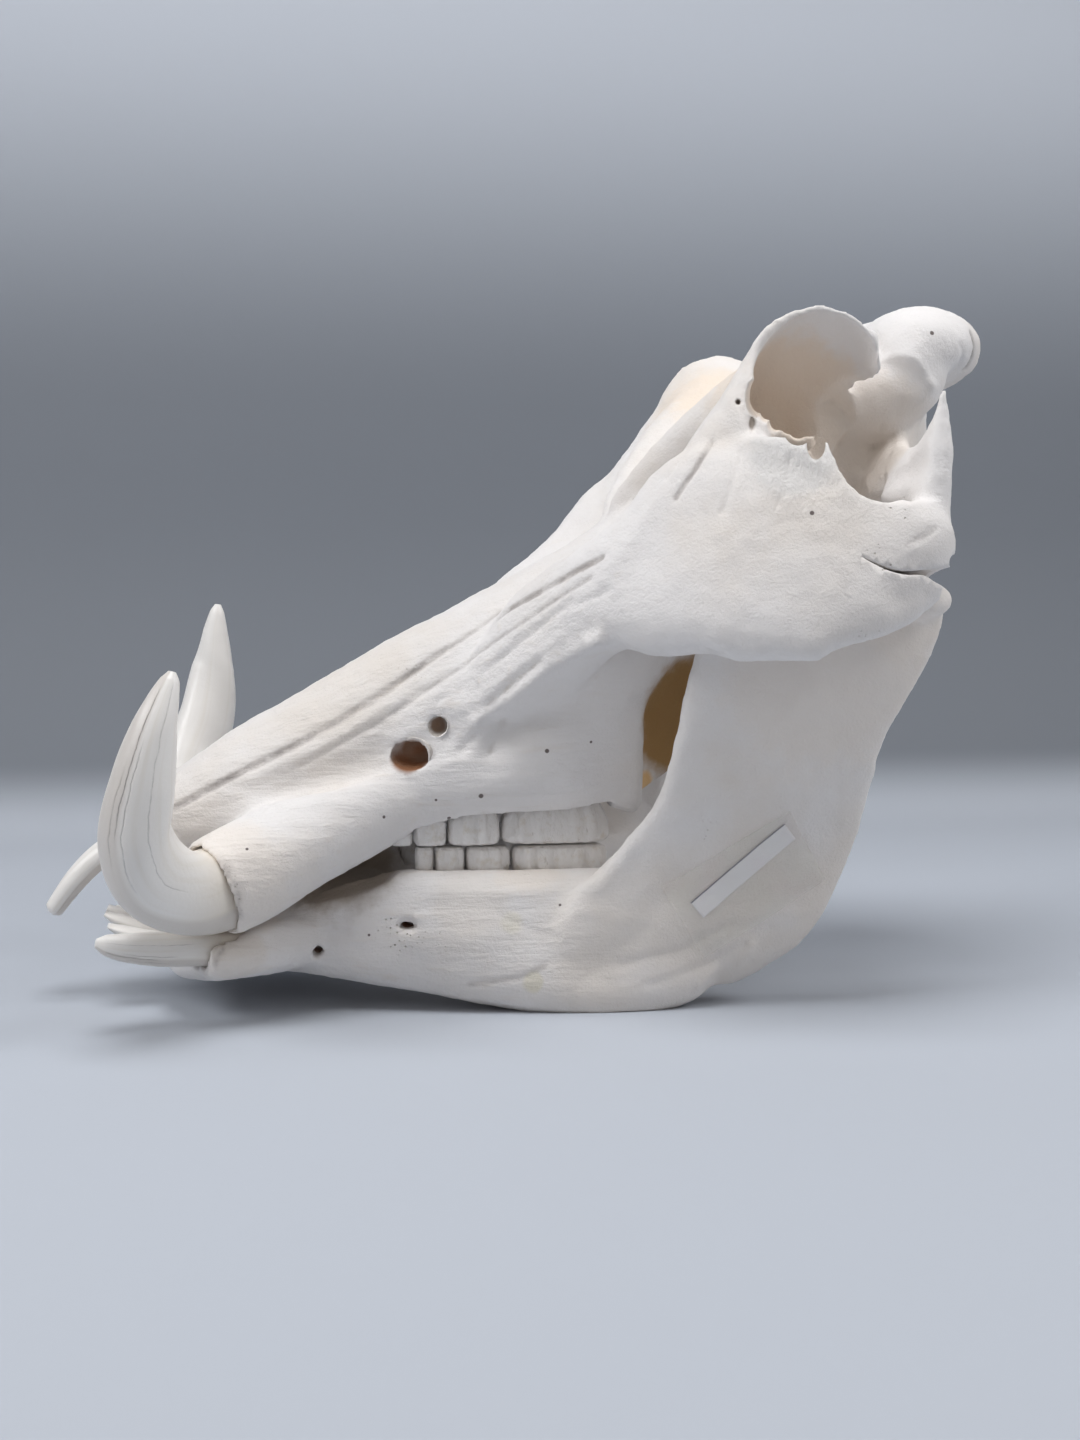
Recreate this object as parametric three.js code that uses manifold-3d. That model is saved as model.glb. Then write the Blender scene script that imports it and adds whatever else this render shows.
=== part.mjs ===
// An adult warthog skull standing on its own lower jaw, in millimetres, with +Z up.
// The snout points to -X, the back of the skull to +X, and the animal's left side to -Y.
import * as THREE from "three";
import { mergeVertices } from "three/addons/utils/BufferGeometryUtils.js";
import Module from "manifold-3d";

const wasm = await Module();
wasm.setup();

// Driving dimensions
const boneGap = 0.4; // clearance round every tooth root
const upperTuskGap = 0.8; // clearance round a tusk in its socket
const lowerTuskGap = 0.7;
const palateRow = 30.5; // cheek tooth row, from the midline to the middle of a tooth
const upperCrownHeight = 59.5; // height of the biting surface above the ground
const lowerCrownHeight = 58.4;
const labelGap = 0.3; // under the paper strip, and again under the tape
const paperThickness = 0.4;
const tapeThickness = 0.35;
const smallestHalf = 0.25; // no ring of a loft gets thinner than this
const weldDistance = 1e-4;
const flatness = 0.24; // corners that lie closer than this to the face round them are left out
const left = -1;
const right = 1;

const bone = { color: 0xe9e6e0, roughness: 0.62, metalness: 0 };
const jawBone = { color: 0xe2ddd4, roughness: 0.62, metalness: 0 };
const ivory = { color: 0xe6dfd0, roughness: 0.35, metalness: 0 };
const enamel = { color: 0xe8e4da, roughness: 0.4, metalness: 0 };
const paper = { color: 0xf1eff0, roughness: 0.8, metalness: 0 };
const clearTape = { color: 0xd9d6d0, roughness: 0.15, metalness: 0 };

// A station of a loft is [x, y, z, half width, half height, squareness, lean in degrees, taper].
// Squareness 2 is an ellipse and 4 nearly a rectangle; taper above 0 narrows the top.
const axes = {
  x: { side: new THREE.Vector3(0, 1, 0), lift: new THREE.Vector3(0, 0, 1) },
  y: { side: new THREE.Vector3(1, 0, 0), lift: new THREE.Vector3(0, 0, 1) },
  z: { side: new THREE.Vector3(1, 0, 0), lift: new THREE.Vector3(0, 1, 0) },
};

function ringAxes(facing, tangent, lean) {
  const side = new THREE.Vector3();
  const lift = new THREE.Vector3();
  if (facing === "path") {
    side.crossVectors(new THREE.Vector3(0, 0, 1), tangent).normalize();
    lift.crossVectors(tangent, side);
  } else {
    side.copy(axes[facing].side);
    lift.copy(axes[facing].lift);
  }
  const turn = THREE.MathUtils.degToRad(lean);
  return {
    side: side.clone().multiplyScalar(Math.cos(turn)).addScaledVector(lift, Math.sin(turn)),
    lift: lift.clone().multiplyScalar(Math.cos(turn)).addScaledVector(side, -Math.sin(turn)),
  };
}

function rounded(value, squareness) {
  return Math.sign(value) * Math.abs(value) ** (2 / squareness);
}

// Faces that share their corners, which a solid needs
function welded(geometry) {
  geometry.deleteAttribute("normal");
  geometry.deleteAttribute("uv");
  return mergeVertices(geometry, weldDistance);
}

const bareBox = (length, width, height) => welded(new THREE.BoxGeometry(length, width, height));

// A closed skin through the stations: a capped cylinder whose rings are moved onto them.
function loft(stations, { sides = 14, rows = 14, facing = "path", lobes = 0, lobeDepth = 0 } = {}) {
  const curveOf = (pick) =>
    new THREE.CatmullRomCurve3(stations.map((s) => new THREE.Vector3(...pick(s))));
  const centres = curveOf((s) => s.slice(0, 3));
  const sizes = curveOf((s) => [s[3], s[4], s[5] ?? 2]);
  const turns = curveOf((s) => [s[6] ?? 0, s[7] ?? 0, 0]);
  const geometry = welded(new THREE.CylinderGeometry(1, 1, 1, sides, rows));
  const spots = geometry.getAttribute("position");
  for (let i = 0; i < spots.count; i += 1) {
    const along = 0.5 - spots.getY(i);
    const radius = Math.hypot(spots.getX(i), spots.getZ(i));
    const angle = Math.atan2(spots.getZ(i), spots.getX(i));
    const centre = centres.getPoint(along);
    const size = sizes.getPoint(along);
    const turn = turns.getPoint(along);
    const { side, lift } = ringAxes(facing, centres.getTangent(along), turn.x);
    const across = radius * rounded(Math.cos(angle), size.z);
    const high = radius * rounded(Math.sin(angle), size.z);
    const swell = 1 + lobeDepth * Math.cos(Math.PI * lobes * (across + 1));
    const width = Math.max(size.x, smallestHalf) * (1 - turn.y * high);
    const height = Math.max(size.y, smallestHalf) * swell;
    const spot = centre.addScaledVector(side, across * width).addScaledVector(lift, high * height);
    spots.setXYZ(i, spot.x, spot.y, spot.z);
  }
  return geometry;
}

// A geometry as a solid with its faces outwards, on the side of the midline that is asked for.
function solid(geometry, flank = right) {
  const positions = Float32Array.from(geometry.getAttribute("position").array);
  for (let i = 1; i < positions.length; i += 3) positions[i] *= flank;
  const triangles = Uint32Array.from(geometry.index.array);
  const build = () =>
    new wasm.Manifold(
      new wasm.Mesh({ numProp: 3, vertProperties: positions, triVerts: triangles }),
    );
  const made = build();
  if (made.volume() > 0) return made;
  for (let i = 0; i < triangles.length; i += 3) {
    [triangles[i + 1], triangles[i + 2]] = [triangles[i + 2], triangles[i + 1]];
  }
  return build();
}

const join = (pieces) => pieces.reduce((whole, piece) => whole.add(piece));
const carve = (whole, cutters) => cutters.reduce((rest, cutter) => rest.subtract(cutter), whole);
const grown = (stations, by) =>
  stations.map((s) => [...s.slice(0, 3), s[3] + by, s[4] + by, ...s.slice(5)]);

const plainer = (made) => made.asOriginal().simplify(flatness);

function mesh(name, made, finish) {
  const { vertProperties, triVerts } = made.getMesh();
  const geometry = new THREE.BufferGeometry();
  geometry.setAttribute("position", new THREE.BufferAttribute(vertProperties, 3));
  geometry.setIndex(new THREE.BufferAttribute(triVerts, 1));
  geometry.computeVertexNormals();
  const piece = new THREE.Mesh(geometry, new THREE.MeshStandardMaterial(finish));
  piece.name = name;
  return piece;
}

// Cranium

// One cross-section of the face or braincase: how low and high it reaches and how wide it is
const band = (x, bottom, top, half, squareness = 2.6, taper = 0.18) => [
  x,
  0,
  (top + bottom) / 2,
  half,
  (top - bottom) / 2,
  squareness,
  0,
  taper,
];

const faceAndBraincase = [
  band(-164, 63, 71, 9, 2.2, 0),
  band(-156, 59, 77, 18, 2.4, 0.05),
  band(-142, 56, 85, 25, 2.6, 0.1),
  band(-118, 56, 101, 31),
  band(-93, 57, 115, 34),
  band(-64, 60, 132, 36),
  band(-35, 65, 147, 39),
  band(-10, 68, 160, 42, 2.5, 0.22),
  band(12, 71, 172, 46, 2.4, 0.22),
  band(30, 96, 185, 47, 2.5, 0.12),
  band(48, 119, 201, 45, 2.6, 0),
  band(66, 126, 217, 40, 2.6, -0.03),
  band(86, 132, 229, 34, 2.5, -0.05),
  band(108, 141, 241, 32, 2.4, -0.05),
  band(128, 151, 251, 32, 2.3, -0.05),
  band(141, 156, 253, 31, 2.3, -0.05),
  band(148, 164, 251, 25, 2.3, -0.05),
  band(152, 178, 247, 15, 2.2, 0),
];

const canineSocketWall = [
  [-56, 31, 76.5, 12, 12.5],
  [-76, 36, 69.5, 17, 15.2],
  [-97, 42.5, 61.5, 19.5, 16.8],
  [-114, 49.5, 54, 20, 18.2],
  [-126.5, 55, 48.5, 19, 18],
];

const zygomaticArch = [
  [-38, 30, 103, 8, 8, 2.4, 10],
  [-20, 35, 118, 13, 17, 2.4, 14],
  [-2, 45, 138, 15, 22, 2.4, 20],
  [13, 57, 150.5, 15, 21, 2.6, 22],
  [29, 70, 158, 14, 31, 2.8, 22],
  [47, 82, 167, 12, 41, 2.8, 22],
  [67, 91, 168, 10, 41, 2.8, 20],
  [86, 97, 167, 9, 40, 2.8, 18],
  [100, 100, 164, 9, 28, 2.6, 14],
  [111, 100.5, 166, 9.5, 20.5, 2.4, 8],
  [119, 99, 170, 9, 15, 2.2, 0],
  [125, 97, 172, 5.5, 8, 2, 0],
  [127, 96.5, 173, 2, 3, 2, 0],
];

const squamosalSpike = [
  [119, 97.5, 168, 7, 7],
  [121.5, 97, 188, 6, 5],
  [123.8, 95.5, 204, 4.6, 3.6],
  [125, 94, 215, 2.8, 2.6],
  [125.2, 92.8, 222, 1.5, 1.4],
  [125, 92.5, 226, 0.7, 0.7],
];

const fossaRearWall = [
  [120.5, 96, 200, 2.6, 25, 2.4, -13],
  [120.5, 88, 197, 3, 18, 2.4, -17],
  [120.3, 79, 194, 3.4, 14.5, 2.4, -21],
  [120.8, 66, 193, 3.8, 14, 2.4, -24],
  [122.8, 52, 194, 4.6, 15, 2.4, -27],
  [126, 38, 197, 6, 18, 2.4, -27],
  [131, 26, 200, 8, 22, 2.4, -20],
];

const jawJointRoof = [
  [119, 95, 168, 7, 8],
  [124, 76, 168.5, 10, 8],
  [128, 52, 172, 11, 11],
  [133, 28, 178, 12, 16],
];

// Rings of the orbit stand upright along the midline's direction, from the forehead out to the rim
const browHood = [
  [60, 4, 184, 36, 16],
  [68, 20, 200, 31, 20],
  [79, 36, 213, 29, 22],
  [87, 50, 223, 26, 24],
  [88, 65, 230.5, 25.5, 24.5],
];
const eyeSocket = [
  [92, 84, 232, 26.5, 26],
  [89, 66, 230.5, 23, 22.2],
  [87.5, 52, 226, 21.5, 20.5],
  [83, 40, 219, 18, 17],
  [80, 31, 214, 10, 10],
];
const rimHook = [
  [110, 60, 248, 4, 4],
  [110.8, 62, 241, 3.2, 3],
  [109.6, 63.5, 236.5, 1.8, 1.8],
  [109.2, 64, 234.5, 0.7, 0.7],
];
const lacrimalBlock = [
  [34, 61, 156, 17, 17, 2.4],
  [40, 62, 174, 20, 18, 2.4],
  [49, 60, 192, 16.5, 16, 2.4],
  [57, 57.5, 210, 12.5, 13, 2.4],
  [64, 57, 226, 8, 9, 2.4],
  [69, 57, 238, 5, 6, 2.4],
];
const toothRidge = [
  [-68, 29, 68, 7, 6, 3],
  [-52, 30.5, 76, 10, 11, 3.2],
  [-30, 31, 84, 11.5, 15, 3.4],
  [0, 31, 88, 12, 18, 3.4],
  [22, 30.5, 90, 11, 18, 3],
  [29, 29, 90, 5, 12, 2.6],
];
const maxillaWall = [
  [-74, 24, 84, 10, 14, 2.6, 6],
  [-48, 27, 95, 15, 26, 2.8, 10],
  [-20, 29, 103, 16, 33, 2.8, 10],
  [5, 31, 110, 15.5, 37, 2.8, 6],
  [22, 31, 109, 14, 37, 3, 0],
  [30, 31.5, 101, 12.3, 32, 3.4, 0],
  [32.5, 31.5, 99, 8, 27, 3, 0],
];
const gapBehindEye = [
  [110, 86, 216, 13, 18],
  [109, 66, 216, 14, 18],
  [105, 48, 215, 14, 17],
  [103, 38, 213, 9, 12],
];
const fossaBelowEye = [
  [106, 60, 222, 9, 7],
  [104, 59, 212, 12, 10],
  [102, 58, 203, 15, 12],
  [95, 57, 194, 24, 14],
  [93, 58, 180, 26, 17],
  [93, 60, 140, 27, 20],
];

const nuchalCrest = [
  [134, -50, 241, 4, 4],
  [139, -44, 245, 15, 9.5],
  [144, -30, 248.5, 22, 13.5],
  [149, -14, 248.5, 26, 15.5],
  [150, 0, 247.5, 27, 15.5],
  [149, 14, 248.5, 26, 15.5],
  [144, 30, 248.5, 22, 13.5],
  [139, 44, 245, 15, 9.5],
  [134, 50, 241, 4, 4],
];
const parietalWall = [
  [100, 26, 222, 10, 14],
  [115, 30, 226, 12, 16],
  [130, 33, 230, 14, 18],
  [142, 34, 234, 14, 16],
  [150, 33, 238, 9, 9],
];
const gapBehindBraincase = [
  [170, 40, 213, 11, 13],
  [152, 39, 213, 10, 12.5],
  [142, 38, 213, 7, 10],
  [137, 38, 212, 2, 4],
];
const hollowUnderCrest = [
  [192, 0, 221, 34, 19],
  [172, 0, 221, 28, 15],
  [156, 0, 220, 16, 12],
  [149, 0, 220, 5, 5],
];
const occipitalCondyle = [
  [136, 14, 168, 5, 6],
  [142, 14.5, 168, 9, 11],
  [149, 15, 168, 9.5, 11.5],
  [154, 15, 169, 6.5, 8],
  [157, 15, 169.5, 2, 3],
];
const spinalOpening = [
  [178, 0, 184, 10, 9.5],
  [150, 0, 182, 9, 9],
  [120, 0, 186, 8, 8],
];
const paroccipitalProcess = [
  [137, 33, 172, 9, 8],
  [134, 37, 150, 6.5, 5],
  [130, 38, 130, 4.2, 3.4],
  [126.5, 37, 113, 2, 1.6],
];
const pterygoidPlate = [
  [20, 26, 96, 4, 20, 3],
  [34, 26, 102, 4, 25, 3],
  [50, 25, 112, 4, 25, 3],
  [66, 24, 123, 4, 17, 3],
  [82, 22, 134, 5, 9, 2.4],
];
const nasalOpening = [
  [-180, 0, 69, 34, 6.5, 3],
  [-160, 0, 68.5, 26, 5.5, 3],
  [-149, 0, 69, 15, 7, 2.4],
  [-132, 0, 73, 16, 10],
  [-114, 0, 78, 12, 9],
  [-104, 0, 80, 5, 4],
];
const archNotch = [
  [102.5, 68, 203, 16.5, 20, 2.2],
  [102.5, 125, 203, 16.5, 20, 2.2],
];
const infraorbitalForamen = [
  [-66, 58, 90, 7.2, 4.4],
  [-58, 44, 92, 7.2, 4.4],
  [-50, 30, 95, 6, 4],
];
const smallForamen = [
  [-52, 58, 102, 3, 2.6],
  [-46, 42, 104, 2.8, 2.4],
  [-40, 30, 106, 2, 2],
];
const cheekSuture = [
  [91, 112, 164.5, 4, 0.3],
  [95, 111, 162.4, 6, 0.4],
  [100, 110, 160.2, 8, 0.5],
  [105.5, 110, 159.1, 9, 0.6],
  [112, 109, 159.2, 10, 0.9],
  [117, 107, 158.2, 12, 2.2],
  [124, 105, 157.5, 14, 4],
  [134, 104, 157.5, 16, 4],
];

// Tusks and front teeth. The two upper tusks differ, as a natural pair does.
const leftUpperTusk = [
  [-88, 38, 66, 8, 8],
  [-108, 45.5, 56.5, 13, 14],
  [-124, 54, 49.5, 14.8, 15.2],
  [-136, 65, 50, 14, 14.4],
  [-146, 76, 58, 13.4, 14.8],
  [-150, 85.5, 73, 12, 13.6],
  [-147.5, 90.5, 91, 9.7, 11],
  [-143.2, 91.5, 108, 6.9, 7.6],
  [-140, 89.8, 118, 4.8, 5.2],
  [-138, 88.6, 124, 3, 3.2],
  [-137.4, 88.2, 126.6, 1.3, 1.3],
];
const rightUpperTusk = [
  [-88, 38, 66, 8, 8],
  [-108, 45.5, 56.5, 13, 14],
  [-124, 54, 50, 15, 15.6],
  [-136, 67, 51.5, 14.4, 15.6],
  [-140.5, 80, 63, 13.4, 15.2],
  [-136, 88.5, 82, 11.8, 13.6],
  [-130, 93, 101, 10.5, 12],
  [-127, 93.5, 121, 8.2, 9],
  [-125.8, 91.8, 137, 5, 5.4],
  [-125, 90.6, 145, 2.9, 3],
  [-124.6, 90.2, 148, 1.3, 1.3],
];
const lowerTusk = [
  [-100, 36, 25.5, 4, 4],
  [-116, 43.5, 25.8, 6.6, 6],
  [-132, 50, 27.6, 7.4, 6.2],
  [-145, 54.5, 28.6, 6.6, 6],
  [-156, 58, 30.2, 4.8, 4.3],
  [-163, 59.5, 31.8, 2.4, 2],
  [-165.5, 60, 32.4, 0.8, 0.8],
];
const upperIncisor = [
  [-146, 7.5, 61.5, 3, 3],
  [-158, 7.5, 60, 4.2, 4.2],
  [-169, 7.2, 53.5, 4.3, 4.3],
  [-178, 6.8, 44.5, 4.1, 4.1],
  [-185, 6, 35, 3.4, 3.4],
  [-186, 6, 33.8, 1.6, 1.6],
];
const lowerFirstIncisor = [
  [-124, 5.8, 22, 3.4, 3],
  [-138, 6, 23.5, 4.4, 3.8],
  [-152, 6.2, 26.5, 5.2, 3.6],
  [-162, 6.2, 30.5, 5, 2.4],
  [-166.5, 6.2, 33, 4, 1],
];
const lowerSecondIncisor = [
  [-124, 15.5, 21, 3.2, 3],
  [-138, 17, 22.5, 4.2, 3.6],
  [-150, 18, 25, 4.9, 3.3],
  [-160, 18.6, 28.5, 4.6, 2.2],
  [-164.5, 19, 30.6, 3.6, 0.9],
];

// Cheek teeth: name, front end, back end, half width, number of lobes along the crown
const upperCheekTeeth = [
  ["premolar", -61.5, -53.6, 4.6, 1],
  ["first_molar", -53, -41.2, 6.6, 2],
  ["second_molar", -40.6, -21.2, 7.8, 3],
  ["third_molar", -20.6, 20.5, 7.6, 6],
];
const lowerCheekTeeth = [
  ["premolar", -52.5, -45.8, 4, 1],
  ["first_molar", -45.2, -34.4, 5.6, 2],
  ["second_molar", -33.8, -17.2, 6.4, 3],
  ["third_molar", -16.6, 20, 6.4, 6],
];

// Rings from the crown to the root's end: part of the tooth's height, length and width, squareness
const toothProfile = [
  [0, 0.86, 0.8, 3.4],
  [0.12, 1, 1, 3.6],
  [0.5, 0.98, 1, 3.4],
  [1, 0.8, 0.75, 3],
];
const crownLobeDepth = 0.07;

function toothStations([, front, back, half], crown, rootEnd) {
  const middle = (front + back) / 2;
  const reach = (back - front) / 2;
  return toothProfile.map(([along, length, width, squareness]) => {
    const height = crown + (rootEnd - crown) * along;
    return [middle, palateRow, height, reach * length, half * width, squareness];
  });
}

function cheekTooth(tooth, crown, rootEnd, flank) {
  const lobes = tooth[4];
  const lobeDepth = lobes > 1 ? crownLobeDepth : 0;
  const shape = { facing: "z", sides: 8 + 2 * lobes, rows: 2, lobes, lobeDepth };
  return solid(loft(toothStations(tooth, crown, rootEnd), shape), flank);
}

// One nearly square trough for a whole row of roots
function rootTrough(teeth, crown, rootEnd, flank) {
  const squareness = 7;
  const middle = (crown + rootEnd) / 2;
  const depth = Math.abs(rootEnd - crown) / 2 + boneGap * 3;
  const stations = teeth.flatMap(([, from, to, half]) => [
    [from, palateRow, middle, half + boneGap * 2, depth, squareness],
    [to, palateRow, middle, half + boneGap * 2, depth, squareness],
  ]);
  stations[0][0] -= boneGap;
  stations.at(-1)[0] += boneGap;
  return solid(loft(stations, { facing: "x", sides: 8, rows: stations.length - 1 }), flank);
}

const upperRootEnd = 76;
const lowerRootEnd = 42;
const tuskShape = { sides: 10, rows: 11 };
const lowerTuskShape = { sides: 8, rows: 8 };
const round = { sides: 6, rows: 4 }; // front teeth

function makeCranium() {
  const pieces = [solid(loft(faceAndBraincase, { facing: "x", sides: 14, rows: 17 }))];
  const cutters = [
    solid(loft(hollowUnderCrest, { facing: "x", sides: 10, rows: 3 })),
    solid(loft(spinalOpening, { facing: "x", sides: 10, rows: 2 })),
    solid(loft(nasalOpening, { facing: "x", sides: 10, rows: 5 })),
  ];
  pieces.push(solid(loft(nuchalCrest, { facing: "y", sides: 10, rows: 8 })));
  for (const flank of [left, right]) {
    const tusk = flank === left ? leftUpperTusk : rightUpperTusk;
    pieces.push(
      solid(loft(canineSocketWall, { sides: 10, rows: 4 }), flank),
      solid(loft(zygomaticArch, { sides: 10, rows: 12 }), flank),
      solid(loft(squamosalSpike, { facing: "z", sides: 6, rows: 5 }), flank),
      solid(loft(fossaRearWall, { facing: "y", sides: 7, rows: 6 }), flank),
      solid(loft(parietalWall, { facing: "x", sides: 8, rows: 4 }), flank),
      solid(loft(rimHook, { facing: "z", sides: 6, rows: 3 }), flank),
      solid(loft(jawJointRoof, { facing: "y", sides: 8, rows: 3 }), flank),
      solid(loft(browHood, { facing: "y", sides: 14, rows: 4 }), flank),
      solid(loft(occipitalCondyle, { facing: "x", sides: 7, rows: 3 }), flank),
      solid(loft(paroccipitalProcess, { facing: "z", sides: 6, rows: 3 }), flank),
      solid(loft(pterygoidPlate, { facing: "x", sides: 6, rows: 3 }), flank),
      solid(loft(lacrimalBlock, { facing: "z", sides: 8, rows: 4 }), flank),
      solid(loft(toothRidge, { facing: "x", sides: 8, rows: 4 }), flank),
      solid(loft(maxillaWall, { facing: "x", sides: 8, rows: 6 }), flank),
    );
    cutters.push(
      solid(loft(eyeSocket, { facing: "y", sides: 14, rows: 4 }), flank),
      solid(loft(gapBehindEye, { facing: "y", sides: 10, rows: 3 }), flank),
      solid(loft(fossaBelowEye, { facing: "z", sides: 8, rows: 5 }), flank),
      solid(loft(infraorbitalForamen, { facing: "y", sides: 8, rows: 2 }), flank),
      solid(loft(smallForamen, { facing: "y", sides: 6, rows: 2 }), flank),
      solid(loft(gapBehindBraincase, { facing: "x", sides: 8, rows: 3 }), flank),
      solid(loft(archNotch, { facing: "y", sides: 16, rows: 1 }), flank),
      solid(loft(cheekSuture, { facing: "x", sides: 6, rows: 7 }), flank),
      solid(loft(grown(tusk, upperTuskGap), tuskShape), flank),
      solid(loft(grown(upperIncisor, boneGap), round), flank),
    );
    cutters.push(rootTrough(upperCheekTeeth, upperCrownHeight, upperRootEnd, flank));
  }
  return mesh("cranium", plainer(carve(join(pieces), cutters)), bone);
}

// Mandible

const chin = [
  [-145, 0, 21, 32, 3, 2.6],
  [-138, 0, 20.5, 43, 9, 2.8],
  [-125, 0, 21.5, 48, 11.5, 2.8],
  [-106, 0, 25, 41, 13.5, 2.8],
  [-82, 0, 28, 34, 16.5, 2.8],
  [-61, 0, 30.5, 33, 13, 2.6],
  [-52, 0, 31, 28, 6, 2.4],
];
const jawBody = [
  [-104, 27, 25, 8, 11, 2.4, 0],
  [-82, 31, 27.5, 10.5, 17, 2.6, 2],
  [-60, 35, 29, 11, 22, 2.6, 6],
  [-34, 39, 26.5, 12, 24.5, 2.8, 11],
  [-6, 43, 24, 12.5, 27, 2.8, 14],
  [24, 46.5, 23.5, 12, 28, 2.8, 12],
  [48, 50, 27.5, 9.5, 26, 2.6, 7],
  [67, 52, 33, 4, 14, 2.4, 6],
];
const ramus = [
  [23, 48, 7, 43, 7, 2.6],
  [38, 50.5, 20, 50, 9.5, 2.8],
  [47, 52.5, 33, 51, 9, 3],
  [55, 54, 46, 49, 7.4, 3.2],
  [65, 57, 62, 44.5, 6, 3.4],
  [72.5, 62, 80, 40, 5.6, 3.6],
  [76, 66.5, 98, 39.5, 5.4, 3.6],
  [80.5, 70, 113, 42, 5.4, 3.6],
  [86.5, 72.5, 129, 44.5, 5.2, 3.6],
  [90.5, 73.5, 142, 45, 4.6, 3.4],
  [92, 73.5, 150, 42, 3.2, 3],
];
const lowerSocketWall = [
  [-92, 36, 26, 9, 9.5],
  [-108, 43, 25, 10.5, 9.5],
  [-120, 48, 23.4, 11, 8],
  [-130, 51.5, 23.6, 10.4, 7.6],
];
const coronoidProcess = [
  [72, 72, 142, 15, 4.4, 2.6],
  [73, 71, 156, 12, 3.8, 2.6],
  [75, 69, 168, 8, 3, 2.4],
  [77, 68, 175, 3, 1.6, 2],
];
const jawCondyle = [
  [123, 64, 148.5, 3, 3],
  [124.5, 68, 149.5, 8, 5.4],
  [126, 77, 150, 9.5, 6.4],
  [125.5, 85, 149.5, 8.5, 6],
  [123.5, 90, 148, 3.5, 3],
];
const gapBehindCoronoid = [
  [97, 60, 160, 12, 11],
  [97, 90, 160, 12, 11],
];
const mentalForamen = [
  [-58, 60, 31.5, 4.6, 2.6],
  [-56, 42, 32, 4.2, 2.4],
  [-53, 34, 32.5, 3, 2],
];
const frontMentalForamen = [
  [-90, 54, 22.5, 2.6, 2.6],
  [-89, 38, 23, 2.4, 2.4],
  [-88, 30, 23.5, 2, 2],
];
const ground = { length: 600, width: 400, depth: 40 };

const ramusShape = { facing: "z", sides: 12, rows: 10 };
const jawBodyShape = { facing: "x", sides: 8, rows: 7 };

function groundBlock() {
  const block = bareBox(ground.length, ground.width, ground.depth);
  block.translate(0, 0, -ground.depth / 2);
  return solid(block);
}

function makeMandible() {
  const pieces = [solid(loft(chin, { facing: "x", sides: 12, rows: 6 }))];
  const cutters = [];
  for (const flank of [left, right]) {
    pieces.push(
      solid(loft(jawBody, jawBodyShape), flank),
      solid(loft(ramus, ramusShape), flank),
      solid(loft(lowerSocketWall, { sides: 8, rows: 3 }), flank),
      solid(loft(coronoidProcess, { facing: "z", sides: 8, rows: 3 }), flank),
      solid(loft(jawCondyle, { facing: "y", sides: 8, rows: 4 }), flank),
    );
    cutters.push(
      solid(loft(gapBehindCoronoid, { facing: "y", sides: 10, rows: 1 }), flank),
      solid(loft(mentalForamen, { facing: "y", sides: 6, rows: 2 }), flank),
      solid(loft(frontMentalForamen, { facing: "y", sides: 6, rows: 2 }), flank),
      solid(loft(grown(lowerTusk, lowerTuskGap), lowerTuskShape), flank),
      solid(loft(grown(lowerFirstIncisor, boneGap), round), flank),
      solid(loft(grown(lowerSecondIncisor, boneGap), round), flank),
    );
    cutters.push(rootTrough(lowerCheekTeeth, lowerCrownHeight, lowerRootEnd, flank));
  }
  const standing = plainer(carve(join(pieces), cutters)).subtract(groundBlock());
  return mesh("mandible", standing, jawBone);
}

// Label: a blank paper strip under clear tape, on the outside of the left ramus

const stripTilt = THREE.MathUtils.degToRad(-40);
const tapeTilt = THREE.MathUtils.degToRad(-31);
const labelReach = 18; // how far the label's cutting blocks go into the air beside the jaw
const stripMiddle = new THREE.Vector3(64.2, -66.6, 51.6);
const stripSize = { length: 44.5, height: 7.5 };
const tapeMiddle = new THREE.Vector3(65, -66.6, 46.5);
const tapeSize = { length: 54, height: 31 };

function ramusLayer(from, thickness) {
  const outer = solid(loft(grown(ramus, from + thickness), ramusShape), left);
  const inner = solid(loft(grown(ramus, from), ramusShape), left);
  return carve(outer, [inner, solid(loft(grown(jawBody, from), jawBodyShape), left)]);
}

function window(middle, tilt, { length, height }) {
  const block = bareBox(length, labelReach, height);
  block.rotateY(tilt);
  block.translate(middle.x, middle.y, middle.z);
  return solid(block);
}

function makeLabel() {
  const strip = ramusLayer(labelGap, paperThickness).intersect(window(stripMiddle, stripTilt, stripSize));
  const tapeFrom = labelGap * 2 + paperThickness;
  const tape = ramusLayer(tapeFrom, tapeThickness).intersect(window(tapeMiddle, tapeTilt, tapeSize));
  return [mesh("label_strip", strip, paper), mesh("label_tape", tape, clearTape)];
}

// Assembly

const skull = new THREE.Group();
skull.add(makeCranium(), makeMandible(), ...makeLabel());
for (const [sideName, flank] of [["left", left], ["right", right]]) {
  const upperTusk = flank === left ? leftUpperTusk : rightUpperTusk;
  skull.add(
    mesh(`upper_tusk_${sideName}`, solid(loft(upperTusk, tuskShape), flank), ivory),
    mesh(`lower_tusk_${sideName}`, solid(loft(lowerTusk, lowerTuskShape), flank), ivory),
    mesh(`upper_incisor_${sideName}`, solid(loft(upperIncisor, round), flank), ivory),
    mesh(`lower_first_incisor_${sideName}`, solid(loft(lowerFirstIncisor, round), flank), ivory),
    mesh(`lower_second_incisor_${sideName}`, solid(loft(lowerSecondIncisor, round), flank), ivory),
  );
  for (const tooth of upperCheekTeeth) {
    const made = cheekTooth(tooth, upperCrownHeight, upperRootEnd, flank);
    skull.add(mesh(`upper_${tooth[0]}_${sideName}`, made, enamel));
  }
  for (const tooth of lowerCheekTeeth) {
    const made = cheekTooth(tooth, lowerCrownHeight, lowerRootEnd, flank);
    skull.add(mesh(`lower_${tooth[0]}_${sideName}`, made, enamel));
  }
}

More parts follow.
